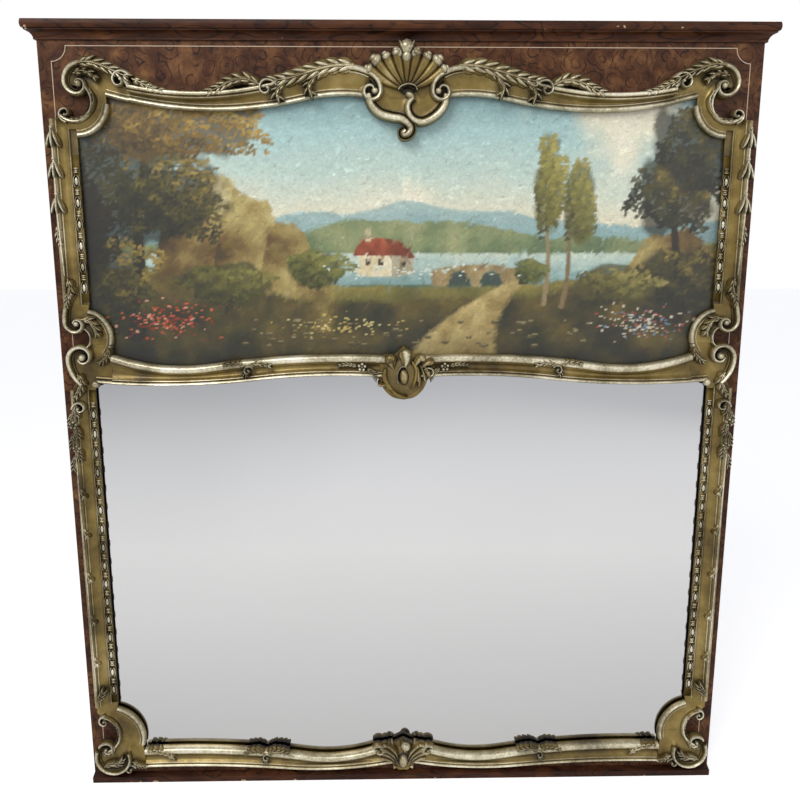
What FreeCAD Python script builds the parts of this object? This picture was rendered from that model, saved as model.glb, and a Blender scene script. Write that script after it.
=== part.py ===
"""Trumeau mirror: a burl-veneered board with a painted panel over a looking glass, both
framed by carved and gilt mouldings.

Millimetres. X runs to the right, Z up, and the front faces -Y. The origin is the middle of
the foot of the back: the wall is the plane Y = 0 and the shelf it stands on is Z = 0."""

import FreeCAD, Part
import math
import os

V = FreeCAD.Vector

# ---- the veneered board ---------------------------------------------------------------
board_w = 1280.0          # over the two stiles
board_t = 30.0            # ground and veneer together
veneer_t = 1.2
front_t = 5.0             # what stays in front of the rebates, veneer included
stile_w = 50.0
stile_in = board_w / 2 - stile_w      # from the middle to the inner edge of a stile
rebate_w = 11.0           # how far the rebate is cut into each stile
base_h = 18.0
base_out = 12.0           # how far the base stands in front of the board
base_side = 1.0
base_slope = 6.0
cornice_z = 1446.0        # underside of the cornice
cornice_h = 31.0
cornice_out = 20.0
tenon_t = 10.0
tenon_long = 35.0
tenon_fit = 0.2
joint_gap = 0.3           # open glue lines between the carved lengths

# ---- the panel and the glass behind the openings ---------------------------------------
painting_z = (866.0, 1372.0)      # rebate of the painting, low and high
mirror_z = (46.0, 853.0)          # rebate of the looking glass
panel_fit = 0.5                   # room round the glass and round the stretcher
canvas_t = 1.0
stretcher_w = 50.0
stretcher_back = 0.5              # the stretcher lies this far inside the back
key_long, key_wide, key_t = 34.0, 16.0, 4.0
glass_t = 5.0
silver_t = 0.5
backboard_t = 8.0
backboard_count = 6
backboard_fit = 0.6
batten_w = 11.0
nail_w, nail_head_w, nail_head_t, nail_long = 2.0, 5.0, 0.8, 13.0

# ---- gilt mouldings ---------------------------------------------------------------------
sight_over = 10.0         # how far the sides reach in over the glass
sight_x = stile_in - sight_over       # from the middle to the sight edge of the sides
side_w = 43.0             # sight edge to outer edge of a side moulding
lip = 10.0                # how far the gilding hides the edge of the board
web_h = 7.0               # height of the flat between two rolls
rim_w, rim_h = 8.0, 22.0  # outer roll
edge_w, edge_h = 9.0, 16.0   # rolls of the two lower rails
roll_w, roll_h = 9.0, 11.0
cove_w = 11.0             # hollow beside an outer roll
bead_w, bead_bed = 12.0, 3.0
bead_pitch = 38.0
egg_long, egg_w, egg_h = 17.0, 11.0, 6.5
reel_long, reel_w, reel_h = 9.0, 8.0, 4.0

crest_x = 5.0             # the crest is set a little to the right of the middle

# turning points of the waving rolls, (out from the middle, up), and how much of the bending
# room between them the radius at the near one takes
top_rim = dict(near=(105.0, 1399.0), far=(stile_in - 220, 1355.0), share=0.290)
top_sight = dict(near=(112.0, 1357.5), far=(stile_in - 250, 1331.0), share=0.296)
mid_upper = dict(near=(120.0, 888.0), far=(stile_in - 175, 866.5), share=0.813)
mid_lower = dict(near=(125.0, 855.0), far=(stile_in - 145, 837.0), share=0.483)
low_upper = dict(near=(155.0, 52.0), far=(stile_in - 140, 75.0), share=0.158)
low_lower = dict(near=(170.0, 27.0), far=(stile_in - 140, 39.5), share=0.255)

# corner scrolls: centre and radius of the round sight edge, of the hollow behind it, and
# where the piece is jointed to the rail and to the side
top_corner = dict(centre=(sight_x - 1, 1342.0), sight_r=60.0, hollow_r=32.0, rail_x=sight_x - 97,
                  side_z=1300.0)
mid_corner = dict(centre=(sight_x + 13, 924.0), sight_r=54.0, rail_x=sight_x - 35, side_z=990.0,
                  side_low=826.0)
low_corner = dict(centre=(sight_x + 19, 100.0), sight_r=71.0, hollow=(sight_x + 36, 113.0), hollow_r=38.0,
                  rail_x=sight_x - 50, side_z=180.0)

# ---- fittings on the back ----------------------------------------------------------------
hanger_x, hanger_z = 380.0, 1440.0    # axis of a hanging ring
plate_w, plate_long, plate_t = 22.0, 65.0, 2.0
barrel_r, barrel_long, barrel_y = 4.5, 16.0, 5.0
wire_r, wire_fit = 2.5, 0.05
ring_half, ring_leg = 15.0, 17.0     # middle to leg, and axis to the start of the bend
button_long, button_w, button_t = 44.0, 12.0, 4.0
button_gap = 0.3
button_end = 9.0                      # pivot to the near end of a button
button_x = 250.0
screw_r, screw_fit, screw_head_r, screw_head_t, screw_long = 2.0, 0.05, 4.0, 1.6, 16.0

sag = 1.1                 # straight runs stand in for the arcs of a moulding within this

parts = {}


# ---- drawing tools -------------------------------------------------------------------------
def outline(steps, place):
    """A closed wire. A step (a, b) is a straight run to that corner; a step (m, n, a, b) is an
    arc through (m, n) to (a, b). place turns the two numbers into a point."""
    edges = []
    last = place(*steps[0])
    for step in steps[1:] + [steps[0]]:
        end = place(*step[-2:])
        if len(step) == 4:
            edges.append(Part.Arc(last, place(*step[:2]), end).toShape())
        elif last.distanceToPoint(end) > 1e-6:
            edges.append(Part.LineSegment(last, end).toShape())
        last = end
    return Part.Wire(edges)


def plate(steps, depth, back=0.0):
    """A flat piece on the front of the board: its outline in X and Z, and how far it stands
    out."""
    y = -board_t - back
    face = Part.Face(outline(steps, lambda x, z: V(x, y, z)))
    return face.extrude(V(0, back - depth, 0))


def box(x, y, z):
    """A box from three (low, high) pairs."""
    return Part.makeBox(x[1] - x[0], y[1] - y[0], z[1] - z[0], V(x[0], y[0], z[0]))


def cylinder(r, long, start, axis):
    return Part.makeCylinder(r, long, start, axis)


def join(shapes):
    whole = shapes[0]
    if len(shapes) > 1:
        whole = whole.multiFuse(shapes[1:]).removeSplitter()
    return whole


def mirrored(shape, x=0.0):
    return shape.mirror(V(x, 0, 0), V(1, 0, 0))


def keep(name, shape):
    """Names a finished piece, as one or more solids."""
    solids = shape.Solids
    parts[name] = solids[0] if len(solids) == 1 else Part.Compound(solids)
    return shape


def pair(name, shape, x=0.0):
    """Keeps a right-hand piece and its mirror image."""
    return keep(name + "_right", shape), keep(name + "_left", mirrored(shape, x))


def skin(rings):
    """A closed solid through rings of corners, as many in each, with flat faces and ends."""
    faces = [Part.Face(Part.makePolygon(ring + ring[:1])) for ring in (rings[0], rings[-1])]
    for one, two in zip(rings, rings[1:]):
        for i in range(len(one)):
            corners = [one[i - 1], one[i], two[i], two[i - 1]]
            faces.append(Part.Face(Part.makePolygon(corners + corners[:1])))
    solid = Part.Solid(Part.Shell(faces))
    if solid.Volume < 0:
        solid.reverse()
    return solid


class Track:
    """A line on the front of the board, made of tangent arcs: a start, a heading in degrees
    (0 is +X, 90 is +Z) and (radius, turn) moves, where a positive turn is to the left."""

    def __init__(self, start, heading, moves):
        self.start, self.heading, self.moves = start, heading, moves

    def legs(self):
        x, z = self.start
        heading = math.radians(self.heading)
        for radius, turn in self.moves:
            side = 1 if turn > 0 else -1
            centre = (x - side * radius * math.sin(heading), z + side * radius * math.cos(heading))
            sweep = math.radians(turn)
            points = []
            for share in (0, 0.5, 1):
                angle = heading + share * sweep
                points.append((centre[0] + side * radius * math.sin(angle),
                               centre[1] - side * radius * math.cos(angle)))
            yield centre, radius, heading, turn, points
            (x, z), heading = points[2], heading + sweep

    def steps(self):
        """The track as steps of an outline, from its first point."""
        found = [self.start]
        for *_, points in self.legs():
            found.append((*points[1], *points[2]))
        return found

    def end(self):
        return self.steps()[-1][-2:]

    def shifted(self, left):
        """The same track moved sideways, to its left."""
        heading = math.radians(self.heading)
        start = (self.start[0] - left * math.sin(heading), self.start[1] + left * math.cos(heading))
        moves = [(r - left if turn > 0 else r + left, turn) for r, turn in self.moves]
        return Track(start, self.heading, moves)

    def stations(self):
        """Points along the track with their headings, close enough for straight runs between
        them to keep within sag of the arcs."""
        found = []
        for centre, radius, heading, turn, _ in self.legs():
            step = math.degrees(2 * math.acos(1 - sag / radius))
            count = math.ceil(abs(turn) / step)
            side = 1 if turn > 0 else -1
            for i in range(1 if found else 0, count + 1):
                angle = heading + math.radians(turn) * i / count
                found.append((centre[0] + side * radius * math.sin(angle),
                              centre[1] - side * radius * math.cos(angle), angle))
        return found

    def carry(self, section):
        """Carries a section (steps of out-to-the-left and height) along the track."""
        rings = []
        for x, z, heading in self.stations():
            s, c = math.sin(heading), math.cos(heading)
            rings.append([V(x - u * s, -board_t - d, z + u * c) for u, d in section])
        return skin(rings)


def backwards(steps):
    """The same steps run the other way."""
    found = [steps[-1][-2:]]
    for before, step in zip(steps[-2::-1], steps[:0:-1]):
        found.append((*step[:2], *before[-2:]) if len(step) == 4 else before[-2:])
    return found


def wave_radii(near, far, share):
    """Radii of the two arcs that turn at these points and are tangent to each other."""
    dx, dz = far[0] - near[0], abs(far[1] - near[1])
    both = (dx * dx + dz * dz) / (2 * dz)
    return share * both, (1 - share) * both


def wave(near, far, share, x_from, x_to):
    """A waving track outwards from the middle: an arc over its near turning point, then one
    that is tangent to it over the far one."""
    r_near, r_far = wave_radii(near, far, share)
    lead = math.degrees(math.asin((near[0] - x_from) / r_near))
    middle = math.degrees(math.asin((far[0] - near[0]) / (r_near + r_far)))
    last = math.degrees(math.asin((x_to - far[0]) / r_far))
    side = -1 if near[1] > far[1] else 1
    drop = r_near - math.sqrt(r_near ** 2 - (near[0] - x_from) ** 2)
    start = (x_from, near[1] + side * drop)
    moves = [(r_near, side * (lead + middle)), (r_far, -side * (middle + last))]
    return Track(start, -side * lead, moves)


# ---- sections of the mouldings ------------------------------------------------------------
def roll(width, height):
    """A bevelled roll, centred on its track."""
    half, crown, shoulder = width / 2, 0.2 * width, height - 0.3 * width
    return [(-half, 0), (-half, shoulder), (-crown, height), (crown, height), (half, shoulder), (half, 0)]


def coved(width, height, side):
    """An outer roll with the hollow that falls from it to the web, on its left (side 1) or its
    right (side -1)."""
    foot = width / 2 + cove_w
    shoulder = height - 0.3 * width
    steps = roll(width, height)[:-1]
    steps += [(width / 2 + 0.28 * cove_w, web_h + 0.28 * (shoulder - web_h)), (foot, web_h), (foot, 0)]
    return [(side * out, up) for out, up in steps]


rim = roll(rim_w, rim_h)
sight_roll = roll(roll_w, roll_h)


def boss(x, z, r, top_r, low, high):
    """An eight-sided button that narrows from one height above the board to another."""
    rings = []
    for radius, up in ((r, low), (top_r, high)):
        turns = [i * math.pi / 4 for i in range(8)]
        rings.append([V(x + radius * math.cos(a), -board_t - up, z + radius * math.sin(a)) for a in turns])
    return skin(rings)


def eye(x, z, r, height):
    """The button in the middle of a volute."""
    return boss(x, z, r, 0.55 * r, web_h - 2, height)


def blade(x, z, angle, long, wide, height, back=0.0):
    """One lobe of a leaf, lying on the board: pointed at both ends and ridged."""
    s, c = math.sin(math.radians(angle)), math.cos(math.radians(angle))

    def at(along, across, up):
        return V(x + along * c - across * s, -board_t - back - up, z + along * s + across * c)

    foot, tip, top = at(0, 0, 0), at(long, 0, 0), at(0.5 * long, 0, height)
    left, right = at(0.55 * long, wide / 2, 0), at(0.55 * long, -wide / 2, 0)
    corners = [(foot, left, top), (left, tip, top), (tip, right, top), (right, foot, top)]
    faces = [Part.Face(Part.makePolygon([a, b, t, a])) for a, b, t in corners]
    faces.append(Part.Face(Part.makePolygon([foot, right, tip, left, foot])))
    solid = Part.Solid(Part.Shell(faces))
    if solid.Volume < 0:
        solid.reverse()
    return solid


def leaf(x, z, angle, long, wide, height, lobes=2, spread=32.0, back=0.0):
    """An acanthus leaf: a middle lobe with shorter ones on both sides."""
    found = [blade(x, z, angle, long, wide, height, back)]
    for i in range(lobes):
        reach = long * (0.62 - 0.14 * i)
        start = long * (0.12 + 0.22 * i)
        px = x + start * math.cos(math.radians(angle))
        pz = z + start * math.sin(math.radians(angle))
        for side in (-1, 1):
            found.append(blade(px, pz, angle + side * spread, reach, wide * 0.8, height * 0.8, back))
    return join(found)


# ---- the ground: stiles and rails, rebated from the back -----------------------------------
top_z = cornice_z + cornice_h
half_w = board_w / 2
ground_y = (-(board_t - veneer_t), 0.0)
front_y = (-(board_t - veneer_t), -(board_t - front_t))
rear_y = (-(board_t - front_t), 0.0)
rebate_x = stile_in + rebate_w
tenon_y = (-board_t / 2 - tenon_t / 2, -board_t / 2 + tenon_t / 2)
bar_z = (mirror_z[1], painting_z[0])      # the strip of middle rail left between the rebates
middle_z = (painting_z[0] + painting_z[1]) / 2
mirror_middle_z = (mirror_z[0] + mirror_z[1]) / 2


def beyond(track, flat_z):
    """Everything between a waving track, from the middle to the stile, and a level line."""
    z_start = track.start[1]
    steps = [(0, flat_z), (0, z_start)] + track.steps() + [(track.end()[0], flat_z)]
    face = Part.Face(outline(steps, lambda x, z: V(x, -2 * board_t, z)))
    return face.extrude(V(0, 3 * board_t, 0))


def about_crest(shape, side):
    """Puts a piece drawn outwards from the crest on its side of the board."""
    if side < 0:
        shape = mirrored(shape)
    return shape.translated(V(crest_x, 0, 0))


def column(centre, r):
    """An upright round of the board, left standing behind a corner scroll."""
    return cylinder(r, 3 * board_t, V(centre[0], -2 * board_t, centre[1]), V(0, 1, 0))


tops = [about_crest(beyond(wave(**top_sight, x_from=58, x_to=stile_in - side * crest_x)
                           .shifted(lip - roll_w / 2), middle_z), side) for side in (1, -1)]
sill = beyond(wave(**mid_upper, x_from=20, x_to=stile_in).shifted(rim_w / 2 - lip), middle_z)
head = beyond(wave(**mid_lower, x_from=20, x_to=stile_in).shifted(lip - rim_w / 2), mirror_middle_z)
foot = beyond(wave(**low_upper, x_from=20, x_to=stile_in).shifted(rim_w / 2 - lip), mirror_middle_z)
painting_void = join(tops + [sill, mirrored(sill)])
mirror_void = join([head, mirrored(head), foot, mirrored(foot)])
for scroll in (top_corner, mid_corner, low_corner):
    post = column(scroll["centre"], scroll["sight_r"] - lip)
    painting_void = painting_void.cut(post).cut(mirrored(post))
    mirror_void = mirror_void.cut(post).cut(mirrored(post))


def tenons(z):
    """The tenons at the two ends of a rail, and the mortices that take them."""
    x = (stile_in, stile_in + tenon_long)
    tenon = box(x, tenon_y, z)
    grown = [(low - tenon_fit, high + tenon_fit) for low, high in (x, tenon_y, z)]
    grown[0] = (x[0], grown[0][1])
    return [tenon, mirrored(tenon)], box(*grown)


def rail(front_z, rear_z, tenon_z):
    across = (-stile_in, stile_in)
    front = box(across, front_y, front_z).cut(painting_void).cut(mirror_void)
    pegs, mortice = tenons(tenon_z)
    return join([front, box(across, rear_y, rear_z)] + pegs), mortice


lowest_ear = {name: scroll["centre"][1] - scroll["sight_r"] + lip for name, scroll in
              dict(top=top_corner, mid=mid_corner).items()}
highest_ear = {name: scroll["centre"][1] + scroll["sight_r"] - lip for name, scroll in
               dict(mid=mid_corner, low=low_corner).items()}
shoulder = 15.0
top_rail, top_mortice = rail((lowest_ear["top"], top_z), (painting_z[1], top_z),
                             (painting_z[1] + shoulder, top_z - shoulder))
mid_rail, mid_mortice = rail((mid_lower["far"][1], highest_ear["mid"]), bar_z,
                             (bar_z[0] + 1, bar_z[1] - 1))
low_rail, low_mortice = rail((base_h, highest_ear["low"]), (base_h, mirror_z[0]),
                             (base_h + shoulder / 3, mirror_z[0] - shoulder / 3))

stile = box((stile_in, half_w), ground_y, (base_h, top_z))
for z in (painting_z, mirror_z):
    stile = stile.cut(box((stile_in, rebate_x), rear_y, z))
for mortice in (top_mortice, mid_mortice, low_mortice):
    stile = stile.cut(mortice)
pair("stile", stile)

veneer = box((-half_w, half_w), (-board_t, ground_y[0]), (base_h, cornice_z))
keep("burl_veneer", veneer.cut(painting_void).cut(mirror_void))


# ---- cornice, mitred at its two corners -----------------------------------------------------
cornice_foot, cornice_fillet, cornice_step = 4.0, 3.0, 3.0
nose_h, nose_round = 14.0, 1.5


def cornice_steps():
    nose_z = cornice_z + cornice_h - nose_h
    inner = cornice_out - nose_round - cornice_step
    return [(0, cornice_z), (cornice_foot, cornice_z), (cornice_foot, cornice_z + cornice_fillet),
            (cornice_foot + 0.3 * (inner - cornice_foot), nose_z - 0.45 * (nose_z - cornice_z),
             inner, nose_z - cornice_fillet), (inner, nose_z),
            (cornice_out - nose_round, nose_z),
            (cornice_out, nose_z + nose_h / 2, cornice_out - nose_round, top_z), (0, top_z)]


def mitred(corners):
    low = [V(x, y, cornice_z) for x, y in corners]
    return Part.Face(Part.makePolygon(low + low[:1])).extrude(V(0, 0, cornice_h))


outer_x, outer_y = half_w + cornice_out, -board_t - cornice_out
front_run = Part.Face(outline(cornice_steps(), lambda o, z: V(-outer_x, -board_t - o, z)))
front_run = front_run.extrude(V(2 * outer_x, 0, 0))
side_run = Part.Face(outline(cornice_steps(), lambda o, z: V(half_w + o, outer_y, z)))
side_run = side_run.extrude(V(0, -outer_y, 0))
keep("cornice_front", front_run.common(mitred([(-half_w, -board_t), (half_w, -board_t),
                                                (outer_x, outer_y), (-outer_x, outer_y)])))
pair("cornice_return", side_run.common(mitred([(half_w, -board_t), (half_w, 0), (outer_x, 0),
                                                (outer_x, outer_y)])))


# ---- base that the board stands on -----------------------------------------------------------
def level(x, y, z):
    return Part.makePolygon([V(-x, 0, z), V(-x, y, z), V(x, y, z), V(x, 0, z), V(-x, 0, z)])


base_x, base_y = half_w + base_side, -board_t - base_out
slope = Part.makeLoft([level(base_x, base_y, base_h - base_slope), level(half_w, -board_t, base_h)],
                      True, True)
keep("base_board", join([box((-base_x, base_x), (base_y, 0), (0, base_h - base_slope)), slope]))


# ---- painting: canvas turned over a mitred stretcher with its keys -----------------------------
canvas_x = rebate_x - panel_fit
canvas_z = (painting_z[0] + panel_fit, painting_z[1] - panel_fit)
canvas_y = (rear_y[0], rear_y[0] + canvas_t)
bar_y = (canvas_y[1], -stretcher_back)
bar_x = canvas_x - canvas_t
bars = (canvas_z[0] + canvas_t, canvas_z[1] - canvas_t)
keep("canvas", box((-canvas_x, canvas_x), (canvas_y[0], bar_y[1]), canvas_z)
     .cut(box((-bar_x, bar_x), bar_y, bars)))


def stretcher_bar(corners):
    flat = [V(x, bar_y[0], z) for x, z in corners]
    return Part.Face(Part.makePolygon(flat + flat[:1])).extrude(V(0, bar_y[1] - bar_y[0], 0))


inner_x, inner_z = bar_x - stretcher_w, (bars[0] + stretcher_w, bars[1] - stretcher_w)
long_bars = [[(-bar_x, bars[i]), (bar_x, bars[i]), (inner_x, inner_z[i]), (-inner_x, inner_z[i])]
             for i in (0, 1)]
side_bar = [(bar_x, bars[0]), (bar_x, bars[1]), (inner_x, inner_z[1]), (inner_x, inner_z[0])]

keys = []
for sx in (-1, 1):
    for i, sz in ((0, -1), (1, 1)):
        cx, cz = sx * inner_x, inner_z[i]
        back, sunk = key_long * 0.65, key_long * 0.35
        for flip in (False, True):
            a, b, c = (sunk, 2), (-back, 2), (-back, 2 - key_wide * 0.6)
            if flip:
                a, b, c = a[::-1], b[::-1], c[::-1]
            y = (bar_y[0] + bar_y[1]) / 2 + (key_t if flip else -key_t)
            flat = [V(cx + sx * u, y - key_t / 2, cz + sz * w) for u, w in (a, b, c)]
            keys.append(Part.Face(Part.makePolygon(flat + flat[:1])).extrude(V(0, key_t, 0)))
for name, corners in (("stretcher_bottom", long_bars[0]), ("stretcher_top", long_bars[1])):
    shape = stretcher_bar(corners)
    for key in keys:
        shape = shape.cut(key)
    keep(name, shape)
side_shape = stretcher_bar(side_bar)
for key in keys:
    side_shape = side_shape.cut(key)
pair("stretcher_side", side_shape)
keep("stretcher_crossbar", box((-0.4 * stretcher_w, 0.4 * stretcher_w), bar_y, inner_z))
keep("stretcher_keys", Part.Compound(keys))


# ---- looking glass, its battens and backboards ---------------------------------------------------
glass_x, glass_z = rebate_x - panel_fit, (mirror_z[0] + panel_fit, mirror_z[1] - panel_fit)
glass_y = (rear_y[0], rear_y[0] + glass_t)
silver_y = (glass_y[1], glass_y[1] + silver_t)
board_y = (-backboard_t, 0.0)
batten_y = (silver_y[1], board_y[0])
keep("mirror_glass", box((-glass_x, glass_x), glass_y, glass_z))
keep("silvering", box((-glass_x, glass_x), silver_y, glass_z))

span = (2 * glass_x + backboard_fit) / backboard_count
nails = []
for i in range(backboard_count):
    x = -glass_x + (i + 0.5) * span - backboard_fit / 2
    for z in (glass_z[0] + batten_w / 2, glass_z[1] - batten_w / 2):
        nails.append(join([box((x - nail_head_w / 2, x + nail_head_w / 2), (-nail_head_t, 0),
                               (z - nail_head_w / 2, z + nail_head_w / 2)),
                           box((x - nail_w / 2, x + nail_w / 2), (-nail_long, -nail_head_t),
                               (z - nail_w / 2, z + nail_w / 2))]))
battens = [box((-glass_x, glass_x), batten_y, (glass_z[0], glass_z[0] + batten_w)),
           box((-glass_x, glass_x), batten_y, (glass_z[1] - batten_w, glass_z[1]))]
upright = box((glass_x - batten_w, glass_x), batten_y, (glass_z[0] + batten_w, glass_z[1] - batten_w))
battens += [upright, mirrored(upright)]
planks = []
for i in range(backboard_count):
    x = -glass_x + i * span
    planks.append(box((x, x + span - backboard_fit), board_y, glass_z))
nail_set = Part.Compound(nails)
keep("glass_battens", Part.Compound([batten.cut(nail_set) for batten in battens]))
keep("backboards", Part.Compound([plank.cut(nail_set) for plank in planks]))
keep("backboard_nails", nail_set)


# ---- gilt rails: two rolls that wave apart, and the hollow web between them -------------------------
def gilt_rail(upper, lower, upper_section, lower_section, ends=()):
    web = plate(lower.steps() + backwards(upper.steps()), web_h)
    return join([web, upper.carry(upper_section), lower.carry(lower_section)] + list(ends))


overshoot = 6.0           # a length is drawn this much too long, then sawn at its joint


def sawn(shape, side, x):
    """Saws a rail at the joint to its corner, side 1 for the right-hand rail."""
    inner = box((0, x - joint_gap / 2), (-3 * board_t, 0), (0, top_z))
    return shape.common(inner if side > 0 else mirrored(inner))


volute = Track(top_rim["near"], 180, [(85, 30), (30, 60), (14, 90), (12, 90), (9, 90), (6, 90)])
volute_eye = eye(56, 1360, 6, rim_h + 3)
top_rails = {}
for side, name in ((1, "right"), (-1, "left")):
    reach = top_corner["rail_x"] - side * crest_x + overshoot
    upper = wave(**top_rim, x_from=top_rim["near"][0], x_to=reach)
    lower = wave(**top_sight, x_from=58, x_to=reach)
    web = plate(lower.steps() + backwards(upper.steps()) + volute.steps()[1:4], web_h)
    shape = join([web, upper.carry(coved(rim_w, rim_h, -1)), lower.carry(sight_roll),
                  volute.carry(rim), volute_eye])
    top_rails[name] = sawn(about_crest(shape, side), side, top_corner["rail_x"])
    keep("top_moulding_" + name, top_rails[name])


def wave_on(near, far, share, x_from, x_to):
    """The stretch of a wave past its far turning point, from x_from to x_to."""
    r_far = wave_radii(near, far, share)[1]
    side = -1 if near[1] > far[1] else 1
    first, last = (math.degrees(math.asin((x - far[0]) / r_far)) for x in (x_from, x_to))
    z = far[1] + side * (math.sqrt(r_far ** 2 - (x_from - far[0]) ** 2) - r_far)
    return Track((x_from, z), -side * first, [(r_far, -side * (last - first))])


# Each cartouche: the right half of its outline from foot to top, its raised gem (middle and
# half sizes) and the lobes of its shell (start, angle, length, width).
mid_cartouche = dict(
    half=[(0, 806), (21, 811, 37, 826), (45, 840, 43, 866), (47, 882, 40, 891), (30, 897, 19, 890),
          (13, 905, 0, 908)],
    gem=(0, 853, 9.5, 17.5), lobes=[(16, 832, 62, 52, 11), (13, 842, 74, 48, 11), (8, 872, 84, 30, 12)])
low_cartouche = dict(
    half=[(0, 22), (10, 21, 17, 26), (22, 40, 33, 53), (46, 62, 52, 73), (42, 84, 27, 82),
          (16, 91, 0, 93)],
    gem=(0, 50, 7, 13), lobes=[(14, 35, 42, 44, 11), (11, 42, 60, 46, 11), (6, 63, 76, 24, 12)])
cartouche_h, gem_h, lobe_h = 14.0, 22.0, 9.0


def cartouche(half, gem, lobes):
    """A shell-work cartouche, and the room that the rails leave for it."""
    mirror = [(0, half[0][1])]
    for before, step in zip(half[-2::-1], half[:0:-1]):
        mirror.append((-step[0], step[1], -before[-2], before[-1]))
    steps = half + mirror[1:]
    body = plate(steps, cartouche_h)
    x, z, w, h = gem
    stone = plate([(x, z - h), (x + w, z, x, z + h), (x - w, z, x, z - h)], gem_h)
    ribs = []
    for lobe in lobes:
        ribs.append(blade(*lobe, lobe_h, cartouche_h))
        ribs.append(mirrored(ribs[-1]))
    above = plate(steps, 2 * rim_h)
    bare = Part.Face(outline(steps, lambda x, z: V(x, -board_t, z))).makeOffset2D(joint_gap)
    return join([body, stone, join(ribs).common(above)]), bare.extrude(V(0, -2 * rim_h, 0))


for level_name, spec, upper_spec, lower_spec, joint_x in (
        ("mid", mid_cartouche, mid_upper, mid_lower, mid_corner["rail_x"]),
        ("low", low_cartouche, low_upper, low_lower, low_corner["rail_x"])):
    carved, clearing = cartouche(**spec)
    keep(level_name + "_cartouche", carved)
    upper = wave(**upper_spec, x_from=12, x_to=joint_x + overshoot)
    lower = wave(**lower_spec, x_from=12, x_to=joint_x + overshoot)
    shape = gilt_rail(upper, lower, coved(edge_w, edge_h, -1), coved(edge_w, edge_h, 1))
    lengths = sawn(shape.cut(clearing), 1, joint_x).Solids
    pair(level_name + "_moulding", max(lengths, key=lambda one: one.Volume))


# ---- corner scrolls and sides ---------------------------------------------------------------------------
def crossing(centre, r, x, up):
    """Where an upright line meets a circle: its upper or lower crossing."""
    return centre[1] + up * math.sqrt(r ** 2 - (x - centre[0]) ** 2)


def round_track(centre, r, first, last):
    """Part of a circle between two bearings in degrees; runs clockwise if last is less."""
    turn = last - first
    start = (centre[0] + r * math.cos(math.radians(first)), centre[1] + r * math.sin(math.radians(first)))
    return Track(start, first + (90 if turn > 0 else -90), [(r, turn)])


def bearing(centre, point):
    return math.degrees(math.atan2(point[1] - centre[1], point[0] - centre[0])) % 360


side_outer = sight_x + side_w
half_roll = roll_w / 2
everything = (-3 * board_t, 0)


def keep_inside(shape, *boxes):
    return shape.common(join([box(*one) for one in boxes]))


# the top corner: the rim comes off the rail, turns over the top and winds into its eye
c, r = top_corner["centre"], top_corner["sight_r"] - half_roll
joint_x, joint_z = top_corner["rail_x"], top_corner["side_z"]
volute_out = Track((joint_x - 2.6, c[1] + 25.6), 48,
                   [(110, -48), (28, -90), (20, -90), (13, -90), (8, -90), (5, -90)])
rail_end = wave_on(**top_sight, x_from=joint_x - overshoot, x_to=c[0] - r)
sight = round_track(c, r, 180, bearing(c, (sight_x, crossing(c, r, sight_x, -1))))
hollow = round_track(c, top_corner["hollow_r"], 313, 130)
web = plate(rail_end.steps() + sight.steps() + [(sight_x, joint_z), (side_outer, joint_z)]
            + hollow.steps() + backwards(volute_out.steps()[:4]), web_h)
whole = join([web, rail_end.carry(sight_roll), sight.carry(sight_roll),
              hollow.carry(roll(rim_w, rim_h - 4)), volute_out.carry(rim),
              eye(c[0] - 13, c[1] + 29, 5.5, rim_h + 3)])
pair("top_corner", keep_inside(
    whole, ((joint_x + joint_gap / 2, half_w), everything, (joint_z, top_z)),
    ((joint_x + joint_gap / 2, sight_x), everything, (c[1] - top_corner["sight_r"], top_z))))


def side_section():
    """Section of a side: the bed for the beading, the hollow and the outer roll."""
    middle, foot = side_w - rim_w / 2, side_w - rim_w - cove_w
    steps = [(middle - out, up) for out, up in roll(rim_w, rim_h)][:-1]
    steps += [(side_w - rim_w - 0.28 * cove_w, web_h + 0.28 * (rim_h - web_h)), (foot, web_h),
              (bead_w, web_h), (bead_w, bead_bed), (0, bead_bed), (0, 0)]
    return steps


def straight_side(low, high):
    face = Part.Face(outline(side_section(), lambda u, d: V(sight_x + u, -board_t - d, low)))
    return face.extrude(V(0, 0, high - low))


# the middle corner: two volutes back to back, with a small hollow between them
c, r = mid_corner["centre"], mid_corner["sight_r"] - half_roll
joint_x, high_z, low_z = mid_corner["rail_x"], mid_corner["side_z"], mid_corner["side_low"]
upper_turn = Track((sight_x + 24.7, 1006.6), -55, [(90, -35), (17, -90), (12, -90), (8, -90), (5, -90)])
lower_turn = Track((sight_x + 18.6, 839), 40, [(60, 50), (22, 90), (16, 90), (11, 90), (7, 90)])
between = round_track((sight_x + 19, 924), 20, 120, 240)
sight = round_track(c, r, bearing(c, (sight_x, crossing(c, r, sight_x, 1))),
                    bearing(c, (joint_x, crossing(c, r, joint_x, -1))))
rail_foot = wave_on(**mid_lower, x_from=joint_x - overshoot, x_to=sight_x - half_roll)
web = plate([(sight_x, high_z)] + sight.steps() + rail_foot.steps()[1:]
            + [(sight_x, low_z), (side_outer, low_z), lower_turn.steps()[1][-2:],
               lower_turn.steps()[2], between.end()]
            + backwards(between.steps())[1:] + [upper_turn.steps()[2][-2:]]
            + backwards(upper_turn.steps()[1:3])[1:] + [(side_outer, high_z)], web_h)
mid_whole = join([web, sight.carry(sight_roll), rail_foot.carry(sight_roll),
                  between.carry(roll(rim_w, rim_h - 6)), upper_turn.carry(rim), lower_turn.carry(rim),
                  eye(sight_x + 21, 952, 5.5, rim_h + 3), eye(sight_x + 15, 889, 7, rim_h + 3)])

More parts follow.
